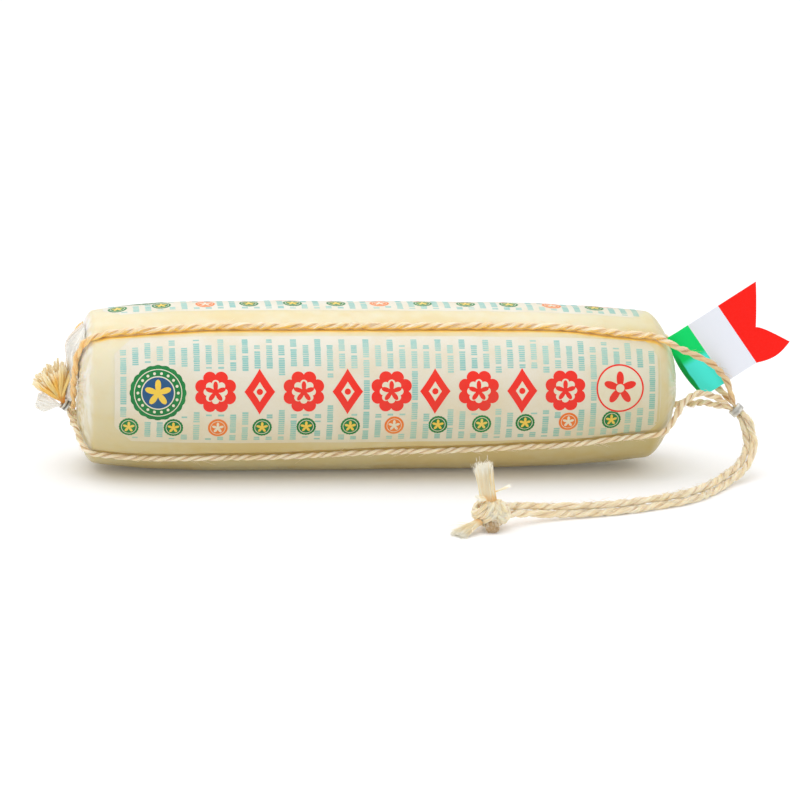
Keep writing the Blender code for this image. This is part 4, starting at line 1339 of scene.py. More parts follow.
@dataclass
class Cordage:
    """All the routes of rope: four along the log between the clips, and the doubled hanging loop.

    The free stretches and the loop are given point by point and are the CAD model's own.
    """

    shape: LogShape
    pinched_long: float = 0.56
    pinched_loop: float = 0.74
    slim_left: float = 0.94
    slim_lower: float = 0.78
    pinch_from: float = 0.0056
    pinch_reach: float = 0.0080
    long_offset: float = 0.00164
    loop_offset: float = 0.00200
    gap: float = 0.0003
    loop_half_pitch: float = 0.00266
    loop_lean: float = math.radians(55)
    leaves_left: dict[str, float] = field(
        default_factory=lambda: {
            "rope_front_upper": 0.0330,
            "rope_back_upper": 0.0300,
            "rope_front_lower": 0.0330,
            "rope_back_lower": 0.0300,
        }
    )
    leaves_right: dict[str, float] = field(
        default_factory=lambda: {
            "rope_front_upper": 0.0480,
            "rope_back_upper": 0.0480,
            "rope_front_lower": 0.0435,
            "rope_back_lower": 0.0480,
        }
    )
    free_right: dict[str, tuple[tuple[float, float, float], ...]] = field(
        default_factory=lambda: {
            "rope_front_upper": (
                (0.2146, -0.0280, 0.0926),
                (0.2272, -0.0235, 0.0863),
                (0.2400, -0.0195, 0.0793),
                (0.2473, -0.0172, 0.0722),
                (0.2530, -0.0163, 0.0646),
                (0.2560, -0.0152, 0.0560),
            ),
            "rope_back_upper": (
                (0.2150, 0.0230, 0.0870),
                (0.2260, 0.0155, 0.0790),
                (0.2370, 0.0060, 0.0695),
                (0.2450, -0.0035, 0.0610),
                (0.2522, -0.0080, 0.0545),
            ),
            "rope_front_lower": (
                (0.2120, -0.0360, 0.0434),
                (0.2180, -0.0318, 0.0524),
                (0.2238, -0.0282, 0.0566),
                (0.2318, -0.0237, 0.0584),
                (0.2394, -0.0203, 0.0562),
                (0.2480, -0.0168, 0.0522),
            ),
            "rope_back_lower": (
                (0.2160, 0.0240, 0.0350),
                (0.2230, 0.0120, 0.0415),
                (0.2304, -0.0030, 0.0454),
                (0.2372, -0.0098, 0.0480),
                (0.2458, -0.0120, 0.0468),
            ),
        }
    )
    free_left: dict[str, tuple[tuple[float, float, float], ...]] = field(
        default_factory=lambda: {
            "rope_front_upper": (
                (-0.2144, -0.0222, 0.0745),
                (-0.2150, -0.0160, 0.0625),
                (-0.2147, -0.0119, 0.0530),
                (-0.2149, -0.0096, 0.0458),
            ),
            "rope_back_upper": (
                (-0.2144, 0.0160, 0.0740),
                (-0.2150, 0.0080, 0.0640),
                (-0.2152, 0.0010, 0.0540),
                (-0.2152, -0.0026, 0.0470),
            ),
            "rope_front_lower": ((-0.2150, -0.0190, 0.0365), (-0.2164, -0.0120, 0.0398)),
            "rope_back_lower": ((-0.2150, 0.0110, 0.0365), (-0.2164, 0.0010, 0.0398)),
        }
    )
    loop_route: tuple[tuple[float, float, float], ...] = (
        (0.2647, -0.0135, 0.0395),
        (0.2674, -0.0160, 0.0356),
        (0.2690, -0.0200, 0.0300),
        (0.2696, -0.0260, 0.0234),
        (0.2677, -0.0330, 0.0178),
        (0.2633, -0.0420, 0.0128),
        (0.2564, -0.0520, 0.0089),
        (0.2475, -0.0615, 0.0060),
        (0.2340, -0.0810, 0.0048),
        (0.2171, -0.1009, 0.0048),
        (0.2029, -0.1124, 0.0048),
        (0.1858, -0.1212, 0.0048),
        (0.1651, -0.1311, 0.0048),
        (0.1429, -0.1383, 0.0050),
        (0.1212, -0.1440, 0.0058),
        (0.1040, -0.1490, 0.0072),
        (0.0900, -0.1545, 0.0094),
        (0.0737, -0.1630, 0.0114),
    )

    def corner(self, sleeve: Sleeve, name: str, upper: float) -> Array:
        """A long rope's place inside a clip, in the front or back, upper or lower corner."""
        _, front, across = sleeve.frame()
        away = (front if "front" in name else -front) + (upper if "upper" in name else -upper) * across
        return self.long_offset * away

    def pinch(self, points: Array, sleeve: Sleeve, share: float) -> Array:
        """Scale of a rope's radius, easing down to its share inside a clip."""
        away = np.linalg.norm(points - np.array(sleeve.centre), axis=1)
        return np.interp(away, (self.pinch_from, self.pinch_from + self.pinch_reach), (share, 1.0))

    def long_rope(self, name: str, step: float = 0.0022) -> tuple[Array, Array]:
        """Route and scales of one rope along the log, from inside one clip to inside the other."""
        profile = self.shape.profile(700)
        normals = self.shape.normals(profile)
        first = int(np.argmax(profile[:, 1] > self.leaves_left[name]))
        last = len(profile) - 1 - int(np.argmax(profile[::-1, 1] > self.leaves_right[name]))
        x, radius = profile[first : last + 1].T
        nx, nr = normals[first : last + 1].T
        lift = self.shape.lift(radius)
        on_log = self.shape.around(x + nx * lift, radius + nr * lift, self.shape.rope_angle(name, x))
        ends = []
        for sleeve, upper in ((LEFT_SLEEVE, -1.0), (RIGHT_SLEEVE, 1.0)):
            centre, along = np.array(sleeve.centre), sleeve.frame()[0]
            offset = self.corner(sleeve, name, upper)
            ends.append([centre - along * (sleeve.half + 0.0008) + offset, centre - along * self.gap + offset])
        left = smooth_route([ends[0][0], *self.free_left[name][::-1], *on_log[:24:6]], step)
        right = smooth_route([*on_log[-24::6], *self.free_right[name], ends[1][0]], step)
        points = np.vstack([ends[0][1:], left[:-1], resampled(on_log[18:-24], step), right, ends[1][1:]])
        scales = self.pinch(points, LEFT_SLEEVE, self.pinched_long)
        scales = np.minimum(scales, np.interp(points[:, 0], (-0.208, -0.165), (self.slim_left, 1.0)))
        if "lower" in name:
            scales = scales * np.interp(np.abs(points[:, 0]), (0.195, 0.215), (self.slim_lower, 1.0))
        return points, scales * self.pinch(points, RIGHT_SLEEVE, self.pinched_long)

    def loop_ropes(self, step: float = 0.0020) -> tuple[tuple[Array, Array], Array]:
        """Routes of the loop's inner and outer rope, side by side, and their common scales."""
        centre, along = np.array(RIGHT_SLEEVE.centre), RIGHT_SLEEVE.frame()[0]
        mouth = centre + along * (RIGHT_SLEEVE.half + 0.0010)
        route = np.vstack([centre + along * self.gap, smooth_route([mouth, *self.loop_route], step)])
        way = unit(np.gradient(route, axis=0))
        back = unit(np.array([0.0, 1.0, 0.0]) - way * way[:, 1:2])
        inner = np.cross(back, way)
        away = np.linalg.norm(route - centre, axis=1)
        spread = np.interp(away, (0.004, 0.013), (self.loop_offset, self.loop_half_pitch))
        offset = (inner * math.sin(self.loop_lean) + back * math.cos(self.loop_lean)) * spread[:, None]
        return (route + offset, route - offset), self.pinch(route, RIGHT_SLEEVE, self.pinched_loop)

    def from_axis(self, points: Array) -> Array:
        """Direction from the log's axis to each point, square to the axis."""
        away = points * np.array([0.0, 1.0, 1.0]) - np.array([0.0, 0.0, self.shape.axis_height])
        return unit(away)

    def build_loop(self, finish: bpy.types.Material) -> None:
        """Make the loop's two ropes and their loose hairs."""
        paths, scales = self.loop_ropes()
        names = ("loop_inner", "loop_outer")
        ropes = [
            SisalRope(name, path, scales, Twist.SOFT, seed, strand_away=0.31, strand_radius=0.74)
            for name, path, seed in zip(names, paths, (11, 12))
        ]
        bench = ShellBench()
        for rope in ropes:
            rope.hairs(bench)
        hairs = seat(bench.write("loop_loose_hairs", finish), "fibre")
        for name, rope in zip(names, ropes):
            piece = rope.build(finish, name.replace("loop_", "loop_rope_"))
            fine, _ = rope.fine()

    def build_long(self, finish: bpy.types.Material, lower: bpy.types.Material) -> None:
        """Make the four ropes that run along the log, the lower two paler."""
        bench = ShellBench()
        for seed, name in enumerate(self.shape.rope_angles, start=21):
            path, scales = self.long_rope(name)
            twist = Twist.HARD if "upper" in name else Twist.FINE
            rope = SisalRope(name + "_twisted", path, scales, twist, seed, outward=self.from_axis)
            rope.build(finish if "upper" in name else lower, name)
            rope.hairs(bench)
        seat(bench.write("rope_loose_hairs", finish), "fibre")


# --- The knot ---------------------------------------------------------------------------------
@dataclass(frozen=True)
class Wrap:
    """One visible turn of rope on the knot: a small circle on its rounded body, dipping in at the ends."""

    axis: tuple[float, float, float]
    polar: float
    start: float
    end: float
    out: float = 1.0


@dataclass
class LoopKnot:
    """The knot that closes the loop: turns of soft rope over a filled body, a brush, a tail, a stub."""

    centre: tuple[float, float, float] = (0.0627, -0.1688, 0.0120)
    radii: tuple[float, float, float] = (0.0141, 0.0110, 0.0106)
    rope: float = 0.0027
    wraps: tuple[Wrap, ...] = (
        Wrap((-0.74, -0.10, -0.66), 30.0, -70.0, 250.0),
        Wrap((-0.76, -0.12, 0.62), 38.0, -70.0, 250.0, 0.99),
        Wrap((-0.76, -0.15, 0.62), 60.0, -70.0, 250.0, 1.01),
        Wrap((-0.74, -0.16, 0.64), 82.0, -50.0, 230.0, 1.03),
        Wrap((-0.70, -0.20, 0.68), 104.0, -40.0, 220.0, 1.01),
        Wrap((1.0, -0.22, 0.16), 34.0, -80.0, 260.0, 1.01),
        Wrap((1.0, -0.26, 0.22), 56.0, -80.0, 255.0, 1.05),
        Wrap((1.0, -0.30, 0.30), 78.0, -60.0, 225.0, 1.03),
    )

    def turn(self, wrap: Wrap, steps: int = 30) -> Array:
        """Middle line of a turn: c + R (sin b (e1 cos t + e2 sin t) + cos b n), R shrinking at both ends."""
        axis = unit(np.array(wrap.axis))
        one = unit(np.cross(axis, np.array([0.0, 0.0, 1.0])))
        other = np.cross(axis, one)
        angle = np.radians(np.linspace(wrap.start, wrap.end, steps))[:, None]
        polar = math.radians(wrap.polar)
        ball = math.sin(polar) * (np.cos(angle) * one + np.sin(angle) * other) + math.cos(polar) * axis
        share = np.linspace(-1.0, 1.0, steps)[:, None]
        inner = (np.array(self.radii) - self.rope) * wrap.out * (1.0 - 0.30 * np.abs(share) ** 6)
        points = np.array(self.centre) + inner * ball
        points[:, 2] = np.maximum(points[:, 2], self.rope + 0.0002)
        return points

    def core(self, bench: ShellBench) -> None:
        """The filled middle: an ellipsoid in rings of latitude, a little uneven, in painted shade."""
        polar = np.linspace(0.0, math.pi, 26)[1:-1, None]
        angle = np.linspace(0.0, TURN, 40, endpoint=False)
        shape = np.stack(
            np.broadcast_arrays(np.cos(polar), np.sin(polar) * np.cos(angle), np.sin(polar) * np.sin(angle)), -1
        )
        swell = 0.70 + 0.03 * np.cos(5 * angle + 4 * polar)
        rings = np.array(self.centre) + shape * np.array(self.radii) * swell[..., None]
        # painted shade: a high shade value gives the core the rope's crevice shade colour, as it shows only between the
        # turns
        bench.tube(rings, shade=np.full(rings.shape[:2], 0.9))

    def build(self, rope: bpy.types.Material, fibre: bpy.types.Material) -> list[str]:
        """Make the knot's pieces and name them."""
        bench = ShellBench()
        self.core(bench)
        for k, wrap in enumerate(self.wraps):
            path = self.turn(wrap)
            strand = SisalRope("turn", path, np.full(len(path), self.rope / 0.0025), Twist.SOFT, 40 + k)
            strand.step, strand.strand_away, strand.strand_radius = 0.0006, 0.24, 0.78
            strand.surface(bench)
        knot = seat(bench.write("knot_turns", rope, sharp=75.0), "sisal", "loop_knot")
        centre = np.array(self.centre)
        top = centre + np.array([-0.0020, 0.0010, 0.0072])
        brush = FibreBrush("knot_brush", tuple(top), (-0.17, 0.03, 1.0), (0.0056, 0.0044), (1.06, 1.04), 0.0275, 60)
        tail_root = centre + np.array([-0.0092, -0.0068, -0.0052])
        tail = FibreBrush("knot_frayed_tail", tuple(tail_root), (-0.76, -0.62, -0.20), (0.0034, 0.0020), (2.1, 1.2), 0.0225, 61)
        tail.flat = True
        stub_root = centre + np.array([-0.0006, -0.0074, -0.0066])
        stub = FibreBrush("knot_cut_stub", tuple(stub_root), (0.02, -0.90, -0.36), (0.0046, 0.0034), (1.0, 1.0), 0.0062, 62)
        stub.cut, stub.many = True, 220
        side_root, stray_root = centre + np.array([-0.0050, -0.0034, 0.0105]), centre + np.array([0.0020, -0.0030, 0.0150])
        side = FibreBrush("knot_side_bristles", tuple(side_root), (-0.95, -0.15, 0.02), (0.0048, 0.0012), (1.5, 1.2), 0.0060, 63, 90)
        stray = FibreBrush("knot_stray_hairs", tuple(stray_root), (0.85, -0.20, 0.42), (0.0010, 0.0006), (3.4, 2.0), 0.0120, 64, 9)
        pieces = [
            brush.build(fibre, "fibre", "knot_tuft"),
            tail.build(fibre, "fibre", "knot_tail"),
            # painted shade: with the rope's material the stub's core takes its crevice shade colour
            stub.build(rope, "sisal", "knot_stub"),
            side.build(fibre, "fibre"),
            stray.build(fibre, "fibre"),
        ]
        return [knot.name, *(piece.name for piece in pieces)]


@dataclass
class FibreBrush:
    """A sheaf of cut fibres: a fluted core hidden by blades and hairs that spread towards the end."""

    name: str
    root: tuple[float, float, float]
    way: tuple[float, float, float]
    half: tuple[float, float]
    spread: tuple[float, float]
    length: float
    seed: int
    many: int = 460
    flat: bool = False
    cut: bool = False

    def build(self, finish: bpy.types.Material, slot: str, *stands_for: str) -> bpy.types.Object:
        """Make the sheaf as one piece.

        A fibre starts at (u, v) on the oval root and ends at spread times that, its middle bowed
        outwards by a random share. The core follows the same law inside the fibres.

        Args:
            finish: Its material.
            slot: Material slot of the record.
            stands_for: CAD nodes that it replaces.

        Returns:
            The finished piece.
        """
        draw = np.random.default_rng(self.seed)
        way = unit(np.array(self.way))
        side = unit(np.cross(way, [0.0, 0.0, 1.0]) if abs(way[2]) < 0.9 else np.cross([0.0, 1.0, 0.0], way))
        face = np.cross(side, way)
        many = self.many
        reach = np.sqrt(draw.uniform(0.05, 1.0, many))
        turn = draw.uniform(0.0, TURN, many)
        u, v = reach * np.cos(turn) * self.half[0], reach * np.sin(turn) * self.half[1]
        if self.cut:
            long = self.length * draw.uniform(0.93, 1.03, many)
            loose = np.full(many, 0.0002)
        else:
            long = self.length * (draw.uniform(0.82, 1.02, many) + 0.22 * (draw.uniform(0, 1, many) > 0.985))
            loose = 0.0006 + 0.0030 * (draw.uniform(0, 1, many) > 0.90)
        share = np.linspace(0.0, 1.0, 8)
        grow_u = 1 + (self.spread[0] - 1) * share**1.5
        grow_v = 1 + (self.spread[1] - 1) * share**1.5
        bend_u, bend_v = draw.normal(0, 1, (2, many)) * loose
        across = u[:, None] * grow_u + bend_u[:, None] * share**2
        deep = v[:, None] * grow_v + bend_v[:, None] * share**2
        paths = (
            np.array(self.root)
            + across[..., None] * side
            + deep[..., None] * face
            + (long[:, None] * share)[..., None] * way
        )
        if self.flat:
            paths[..., 2] -= 0.0018 * share**2
        paths[..., 2] = np.maximum(paths[..., 2], 0.0004)
        thick = draw.uniform(0.00014, 0.00030, (many, 1)) * np.linspace(1.0, 1.0 if self.cut else 0.45, 8)
        bench = ShellBench()
        bench.hairs(paths, thick, draw.uniform(0.0, 1.0, many))
        rows, columns = 12, 40
        angle = np.linspace(0.0, TURN, columns, endpoint=False)
        place = np.linspace(0.0, 1.0, rows)[:, None]
        ripple = 0.80 + 0.07 * np.cos(9 * angle + 2 * place) + 0.05 * np.cos(14 * angle)
        ripple = (0.10 + ripple) * (1.0 if self.cut else 1 - 0.22 * place**4)
        core_u = np.cos(angle) * self.half[0] * (1 + (self.spread[0] - 1) * place**1.5) * ripple
        core_v = np.sin(angle) * self.half[1] * (1 + (self.spread[1] - 1) * place**1.5) * ripple
        tall = self.length * place * (0.97 if self.cut else 0.88) * np.ones(columns)
        rings = np.array(self.root) + core_u[..., None] * side + core_v[..., None] * face + tall[..., None] * way
        if self.flat:
            rings[..., 2] -= 0.0018 * place**2
        rings[..., 2] = np.maximum(rings[..., 2], 0.0004)
        bench.tube(rings, shade=np.full((rows, columns), 0.8))
        return seat(bench.write(self.name, finish), slot, *stands_for)


# --- The left tuft and the film's ends --------------------------------------------------------
@dataclass
class RaffiaFan:
    """The tuft beyond the left clip: flat curved blades fanned out, with fine hairs between them."""

    blades: int = 130
    hairs: int = 420
    seed: int = 71

    def tips(self, draw: np.random.Generator, many: int) -> tuple[Array, Array]:
        """Directions (up and left in the fan's plane) and lengths of many strands."""
        share = draw.beta(1.15, 1.0, many)
        angle = np.radians(149.0 - 77.0 * share + draw.normal(0, 3.0, many))
        length = (0.0225 + 0.0085 * share) * draw.uniform(0.80, 1.06, many)
        return angle, length

    def build(self, finish: bpy.types.Material) -> bpy.types.Object:
        """Make the fan: each blade a bowed ribbon creased along its middle, closed and 0.25 mm thick."""
        draw = np.random.default_rng(self.seed)
        along = LEFT_SLEEVE.frame()[0]
        mouth = np.array(LEFT_SLEEVE.centre) + along * 0.0006
        bench = ShellBench()
        angle, length = self.tips(draw, self.blades)
        depth = draw.uniform(-1.0, 1.0, self.blades)
        share = np.linspace(0.0, 1.0, 16)
        for k in range(self.blades):
            way = np.array([math.cos(angle[k]), 0.0, math.sin(angle[k])])
            spread = np.array([0.0, depth[k] * 0.0075 - 0.0016, 0.0])
            stem = along * 0.0042 * (1 - (1 - np.minimum(share / 0.25, 1.0)) ** 2)[:, None]
            bow = ease(share, 0.02, 0.9)[:, None]
            line = mouth + stem + way * (length[k] * share**1.15)[:, None] + spread * bow
            line[:, 1] += depth[k] * 0.0016 * np.minimum(share * 6, 1.0)
            line[:, 2] -= 0.0020 * draw.uniform(0, 1) * share**3
            facing = unit(np.array([draw.normal(0, 0.35), -1.0, draw.normal(0, 0.3)]))
            tangent, normal, side = framed(line, np.broadcast_to(facing, line.shape))
            half = draw.uniform(0.0008, 0.0016) * (0.35 + 0.65 * ease(share, 0.0, 0.35)) * (1 - 0.55 * share**5)
            cross = np.linspace(-1.0, 1.0, 5)
            crease = draw.uniform(0.15, 0.5) * (1 - np.abs(cross))
            sheet = (
                line[:, None]
                + side[:, None] * (half[:, None] * cross)[..., None]
                + normal[:, None] * (half[:, None] * crease)[..., None]
            )
            thickness = normal[:, None] * 0.00011
            spots = np.stack(np.broadcast_arrays(share[:, None], cross * 0.08 + draw.uniform(0, 9)), -1)
            tone = np.full(sheet.shape[:2], draw.uniform(0, 1))
            bench.plate(sheet + thickness, sheet - thickness, spots, tone)
        angle, length = self.tips(draw, self.hairs)
        depth = draw.uniform(-1.0, 1.0, self.hairs)
        way = np.stack([np.cos(angle), np.zeros_like(angle), np.sin(angle)], axis=1)
        share = np.linspace(0.0, 1.0, 8)[None, :, None]
        root = mouth + along * 0.0030 * np.minimum(share * 3, 1.0)
        bend = draw.normal(0, 0.0013, (self.hairs, 1, 3))
        paths = root + share * length[:, None, None] * way[:, None] * 0.97 + share**2 * bend
        paths[..., 1] += (depth[:, None] * (0.0075 * share[..., 0] ** 1.2 + 0.0012))
        thick = draw.uniform(0.00010, 0.00022, (self.hairs, 1)) * np.linspace(1.0, 0.4, 8)
        bench.hairs(paths, thick, draw.uniform(0, 1, self.hairs))
        return seat(bench.write("left_raffia_fan", finish), "fibre", "tuft_left")


@dataclass
class FilmEnds:
    """Free film at the left end: the crumpled tail under the tuft and the ear over the shoulder."""

    shape: LogShape
    thickness: float = 0.00018

    def tail(self) -> ShellBench:
        """The tail: a sheet that widens from the clip along a bowed line, crumpled by crossing waves."""
        start = np.array(LEFT_SLEEVE.centre) + np.array([-0.0030, -0.0022, -0.0006])
        u = np.linspace(0.0, 1.0, 40)[:, None]
        v = np.linspace(-1.0, 1.0, 26)[None, :]
        line = start + u[..., None] * np.array([-0.0175, -0.0015, 0.0030]) + (u**2)[..., None] * np.array([0, 0, 0.0016])
        half = 0.0008 + 0.0068 * ease(u, 0.0, 0.7) * (1 - 0.35 * u**4)
        crumple = 0.0011 * np.sin(7 * v + 5 * u) * u + 0.0006 * np.sin(15 * v - 9 * u) * u
        sheet = line + (half * v)[..., None] * unit(np.array([0.25, 0.0, 1.0])) + crumple[..., None] * np.array([0, 1.0, 0.1])
        bench = ShellBench()
        offset = np.array([0.0, -self.thickness / 2, 0.0])
        spots = np.stack(np.broadcast_arrays(u, v * 0.5 + 0.5), -1)
        bench.plate(sheet + offset, sheet - offset, spots)
        return bench

    def web(self) -> ShellBench:
        """The film drawn from the front rope over the back one, standing off the cap like an ear.

        Heights run down from the shoulder to the clip. At each, the sheet goes from the front rope
        to behind the back rope, and bows out to the left by a rounded sine in between. Towards the
        top it eases down onto the cheese.
        """
        u = np.linspace(0.0, 1.0, 90)[:, None]
        v = np.linspace(0.0, 1.0, 60)[None, :]
        rise = 0.1045 - 0.0535 * u - 0.0050 * (v - 0.25) ** 2 * (1 - u)
        steps = (0.0458, 0.0530, 0.0625, 0.0745, 0.0866, 0.0948, 0.1070)
        front_y = np.interp(rise, steps, (-0.0096, -0.0119, -0.0160, -0.0222, -0.0240, -0.0300, -0.0120))
        front_x = np.interp(rise, steps, (-0.2149, -0.2147, -0.2150, -0.2144, -0.2131, -0.2089, -0.2078))
        back_y = np.interp(rise, steps, (0.0010, 0.0040, 0.0110, 0.0200, 0.0290, 0.0310, 0.0120))
        out = np.interp(rise, (0.0510, 0.0620, 0.0700, 0.0800, 0.0880, 0.0960), (-0.2196, -0.2200, -0.2186, -0.2196, -0.2208, -0.2194))
        bow = np.sin(math.pi * v**0.85) ** 0.7
        wrinkle = 0.0003 * np.sin(12 * v + 7 * u) + 0.0002 * np.sin(23 * v - 9 * u + 1.0)
        x = front_x + (out - front_x) * bow + wrinkle * bow
        y = front_y + (back_y - front_y) * v
        z = rise + 0.0008 * np.sin(6 * v + 4 * u) * bow
        profile = self.shape.profile(700)
        shoulder = profile[: int(np.argmax(profile[:, 1] > 0.055))]
        skin = np.interp(np.hypot(y, z - self.shape.axis_height), shoulder[:, 1], shoulder[:, 0]) - 0.0012
        x = skin + (x - skin) * ease(u, 0.0, 0.24)
        sheet = np.stack(np.broadcast_arrays(x, y, z), -1)
        bench = ShellBench()
        offset = np.array([-self.thickness / 2, 0.0, 0.0])
        spots = np.stack(np.broadcast_arrays(u, v), -1)
        bench.plate(sheet + offset, sheet - offset, spots)
        return bench

    def build(self, finish: bpy.types.Material) -> None:
        """Make both pieces of film."""
        seat(self.tail().write("film_tail_crumpled", finish), "film", "film_tail")
        seat(self.web().write("film_ear", finish), "film")


# --- Clips ------------------------------------------------------------------------------------
@dataclass
class CrimpedClip:
    """A band of flat wire bent round the ropes and crimped, its two ends just apart in front."""

    name: str
    node: str
    sleeve: Sleeve
    opening: float
    facing: float
    # depth of the middle channel, also the strength of its painted shade
    slot: float
    lip: float = 0.0004

    def build(self, finish: bpy.types.Material) -> bpy.types.Object:
        """Carry a rounded-box section (a superellipse, power 4) round the bore.

        The band's radius dips by a twentieth at two crimps, and its ends part along the axis.

        Args:
            finish: Its material.

        Returns:
            The clip.
        """
        along, front, across = self.sleeve.frame()
        gap = math.radians(self.opening)
        start = math.radians(self.facing) + gap / 2
        turn = np.linspace(start, start + TURN - gap, 120)[:, None]
        thick = (self.sleeve.outer - self.sleeve.bore) / 2
        angle = np.linspace(0.0, TURN, 28, endpoint=False)[None, :]
        cosine, sine = np.cos(angle), np.sin(angle)
        box = (np.abs(cosine) ** 4 + np.abs(sine) ** 4) ** -0.25
        ends = 1 - np.abs(np.linspace(-1.0, 1.0, 120)) ** 40 * 0.5
        share = np.linspace(-1.0, 1.0, 120)[:, None]
        crimp = 1 - 0.05 * np.exp(-(((share - 0.35) / 0.10) ** 2)) - 0.05 * np.exp(-(((share + 0.35) / 0.10) ** 2))
        channel = np.exp(-((sine / 0.34) ** 2)) * (cosine > 0)
        radius = (self.sleeve.bore + thick + thick * (cosine * box - 0.9 * self.slot * channel) * ends[:, None]) * crimp
        apart = self.lip * share**5
        place = self.sleeve.half * sine * box * ends[:, None] * (1 - 0.10 * np.abs(share) ** 3) + apart
        out = np.cos(turn)[..., None] * front + np.sin(turn)[..., None] * across
        rings = np.array(self.sleeve.centre) + along * place[..., None] + out * radius[..., None]
        bench = ShellBench()
        # painted shade: the channel, scaled by slot, is kept as the shade attribute that darkens it
        bench.tube(rings, shade=np.broadcast_to(self.slot * channel, rings.shape[:2]))
        return seat(bench.write(self.name, finish, sharp=50.0), "clip_metal", self.node)


# --- The tag ----------------------------------------------------------------------------------
@dataclass
class SwallowTag:
    """The swallowtail tag: a thin card, three stripes across it, its left edge curled back."""

    pinch: tuple[float, float, float] = (0.2500, -0.0115, 0.0664)
    pinch_along: float = 0.0150
    pinch_across: float = 0.0460
    rise: float = math.radians(36)
    turn: float = math.radians(12)
    width: float = 0.0500
    belly_from: float = 0.0418
    tip: float = 0.0742
    low_tip: float = 0.0702
    notch: float = 0.0558
    notch_across: float = 0.0270
    hoist: float = -0.0082
    hoist_corner: float = 0.0062
    belly: float = 0.0032
    curl_from: float = 0.0090
    curl_radius: float = 0.0300
    thickness: float = 0.0006

    def first_edge(self, across: Array) -> Array:
        """The rounded left edge, a parabola of the place across."""
        middle = 0.57 * self.width
        return self.hoist + self.hoist_corner * ((across - middle) / middle) ** 2

    def last_edge(self, across: Array) -> Array:
        """The swallowtail: a slow curve to the notch and another one to the lower tip."""
        upper = across / self.notch_across
        lower = (across - self.notch_across) / (self.width - self.notch_across)
        first = self.tip + (self.notch - self.tip) * (0.85 * upper + 0.15 * upper**2)
        second = self.notch + (self.low_tip - self.notch) * np.clip(lower, 0, 1) ** 0.72
        return np.where(across < self.notch_across, first, second)

    def point(self, along: Array, across: Array, side: float) -> Array:
        """World point of the card at (along, across), on its front (1) or its back (-1).

        The card is flat but for its left part, which rolls back on a cylinder, and a shallow wave.
        """
        curled = np.maximum(self.curl_from - along, 0.0) / self.curl_radius
        flat = np.maximum(along, self.curl_from) - self.curl_radius * np.sin(curled)
        back = self.curl_radius * (1 - np.cos(curled))
        way = np.array([math.cos(self.turn), -math.sin(self.turn), 0.0])
        up = np.array([0.0, 0.0, 1.0])
        normal = np.array([-math.sin(self.turn), -math.cos(self.turn), 0.0])
        u = way * math.cos(self.rise) + up * math.sin(self.rise)
        v = way * math.sin(self.rise) - up * math.cos(self.rise)
        lift = side * self.thickness / 2 - back
        return (
            np.array(self.pinch)
            + (flat - self.pinch_along)[..., None] * u
            + (across - self.pinch_across)[..., None] * v
            + lift[..., None] * normal
        )

    def build(self, finish: bpy.types.Material) -> bpy.types.Object:
        """Make the card as a plate on a grid of shares along and across, a column on the notch."""
        shares = np.linspace(0.0, 1.0, 61)
        shares[int(np.argmin(np.abs(shares - self.notch_across / self.width)))] = self.notch_across / self.width
        across = np.broadcast_to(shares * self.width, (90, 61))
        share = np.linspace(0.0, 1.0, 90)[:, None]
        along = self.first_edge(across) + share * (self.last_edge(across) - self.first_edge(across))
        swing = np.clip((along - self.belly_from) / (self.low_tip - self.belly_from), 0, 1)
        spots = np.stack([along, across], axis=-1)
        across = across + self.belly * np.sin(math.pi * swing) * shares**2
        bench = ShellBench()
        bench.plate(self.point(along, across, 1.0), self.point(along, across, -1.0), spots)
        return seat(bench.write("tag_card", finish, sharp=50.0), "tag_plastic", "tag")


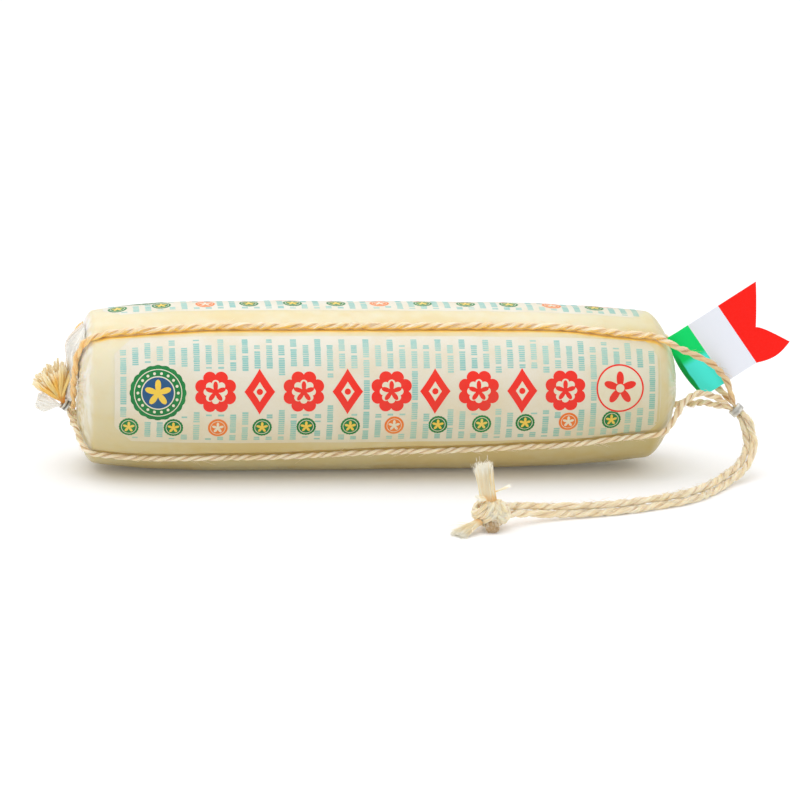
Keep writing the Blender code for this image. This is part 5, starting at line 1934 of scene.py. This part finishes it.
# --- Studio -----------------------------------------------------------------------------------
@dataclass
class Studio:
    """A white table, soft white light and the camera."""

    camera_at: tuple[float, float, float] = (-0.3364, -2.8939, 0.7750)
    right: tuple[float, float, float] = (0.9930, -0.1155, 0.0254)
    up: tuple[float, float, float] = (0.0035, 0.2432, 0.9700)
    forward: tuple[float, float, float] = (0.1182, 0.9631, -0.2419)
    lens: float = 189.0
    sky_low: float = 0.60
    sky_high: float = 1.12
    key: float = 6.0

    def build_camera(self) -> None:
        """Place the long-lens camera in front, a little above and to the left."""
        data = bpy.data.cameras.new("camera")
        data.lens = self.lens
        data.sensor_width = 36.0
        data.clip_start = 0.1
        data.clip_end = 30.0
        camera = bpy.data.objects.new("camera", data)
        bpy.context.scene.collection.objects.link(camera)
        back = tuple(-part for part in self.forward)
        camera.matrix_world = Matrix(
            [(*row, place) for row, place in zip(zip(self.right, self.up, back), self.camera_at)]
            + [(0.0, 0.0, 0.0, 1.0)]
        )
        bpy.context.scene.camera = camera

    def lamp(self, name: str, at: Sequence[float], aim: Sequence[float], size: float, power: float) -> None:
        """A square soft box turned towards a point."""
        data = bpy.data.lights.new(name, "AREA")
        data.shape = "SQUARE"
        data.size = size
        data.energy = power
        light = bpy.data.objects.new(name, data)
        bpy.context.scene.collection.objects.link(light)
        back = unit(np.array(at, float) - np.array(aim, float))
        side = unit(np.cross([0.0, 0.0, 1.0], back) if abs(back[2]) < 0.99 else np.array([1.0, 0.0, 0.0]))
        over = np.cross(back, side)
        light.matrix_world = Matrix(
            [(side[k], over[k], back[k], at[k]) for k in range(3)] + [(0.0, 0.0, 0.0, 1.0)]
        )

    def build(self) -> None:
        """Lay the table, light the room and choose a plain display of colour."""
        bench = NodeBench("white_table")
        bench.surface(Base_Color=(0.93, 0.93, 0.94, 1.0), Roughness=0.75)
        bench.surface(Emission_Color=(1.0, 1.0, 1.0, 1.0), Emission_Strength=0.06)
        size = 12.0
        mesh = bpy.data.meshes.new("table")
        mesh.from_pydata([(-size, -size, 0), (size, -size, 0), (size, size, 0), (-size, size, 0)], [], [(0, 1, 2, 3)])
        mesh.materials.append(bench.material)
        table = bpy.data.objects.new("table", mesh)
        bpy.context.scene.collection.objects.link(table)
        world = bpy.data.worlds.new("room")
        world.use_nodes = True
        nodes, links = world.node_tree.nodes, world.node_tree.links
        background = nodes["Background"]
        background.inputs["Color"].default_value = (1.0, 1.0, 1.0, 1.0)
        way, parts, rise = (
            nodes.new(kind) for kind in ("ShaderNodeTexCoord", "ShaderNodeSeparateXYZ", "ShaderNodeMapRange")
        )
        links.new(way.outputs["Generated"], parts.inputs["Vector"])
        links.new(parts.outputs["Z"], rise.inputs["Value"])
        for name, number in zip(("From Min", "From Max", "To Min", "To Max"), (0.0, 0.7, self.sky_low, self.sky_high)):
            rise.inputs[name].default_value = number
        links.new(rise.outputs["Result"], background.inputs["Strength"])
        bpy.context.scene.world = world
        self.lamp("soft_key", (-0.35, 0.15, 1.6), (0.0, 0.0, 0.05), 1.4, self.key)
        view = bpy.context.scene.view_settings
        view.view_transform = "Standard"
        view.look = "None"


# --- Everything in order ----------------------------------------------------------------------
INKS = (
    Print("print_ground", srgb(231, 226, 212), srgb(228, 218, 194)),
    Print("print_pale", srgb(236, 230, 212), srgb(232, 222, 196)),
    Print("print_teal", srgb(146, 200, 194), srgb(184, 217, 205)),
    Print("print_red", srgb(246, 40, 24), srgb(236, 56, 40)),
    Print("print_green", srgb(14, 122, 58), srgb(34, 138, 70)),
    Print("print_orange", srgb(240, 122, 40), srgb(236, 138, 66)),
    Print("print_blue", srgb(32, 84, 132), srgb(52, 100, 140)),
    Print("print_yellow", srgb(244, 206, 76), srgb(240, 212, 110)),
)
# in each rope finish the first colour is painted shade between the strands; the golden one's last colour is a painted
# glow
GOLDEN = Sisal(
    "sisal_golden", srgb(206, 156, 96), srgb(234, 192, 134), srgb(247, 221, 176), srgb(253, 243, 222), srgb(255, 208, 104)
)
PALE = Sisal("sisal_pale", srgb(202, 160, 106), srgb(230, 200, 148), srgb(242, 223, 184), srgb(250, 241, 216))
RAFFIA = Strands("raffia", srgb(255, 164, 50), srgb(255, 192, 84), srgb(255, 222, 140), srgb(255, 240, 200))
BRISTLE = Strands("bristle", srgb(253, 216, 152), srgb(254, 232, 184), srgb(255, 248, 222), srgb(255, 252, 238))


def main() -> None:
    """Build the studio, the cords and every other piece."""
    logging.basicConfig(level=logging.INFO, format="%(name)s: %(message)s")
    studio = Studio()
    studio.build_camera()
    shape = LogShape()
    cordage = Cordage(shape)
    pale, golden, bristle = PALE.make(), GOLDEN.make(), BRISTLE.make()
    knot_pieces = LoopKnot().build(pale, bristle)
    cordage.build_loop(pale)
    studio.build()
    CheeseLog(shape).build(WrappedCheese())
    Wrapper(shape).build(INKS)
    cordage.build_long(golden, pale)
    metal = CrimpedMetal().make()
    CrimpedClip("left_clip_band", "clip_left", LEFT_SLEEVE, 12.0, 200.0, 1.0).build(metal)
    CrimpedClip("right_clip_band", "clip_right", RIGHT_SLEEVE, 10.0, 150.0, 0.3).build(metal)
    RaffiaFan().build(RAFFIA.make())
    FilmEnds(shape).build(ClearFilm().make())
    SwallowTag().build(TagPlastic().make())


if __name__ == "__main__":
    main()
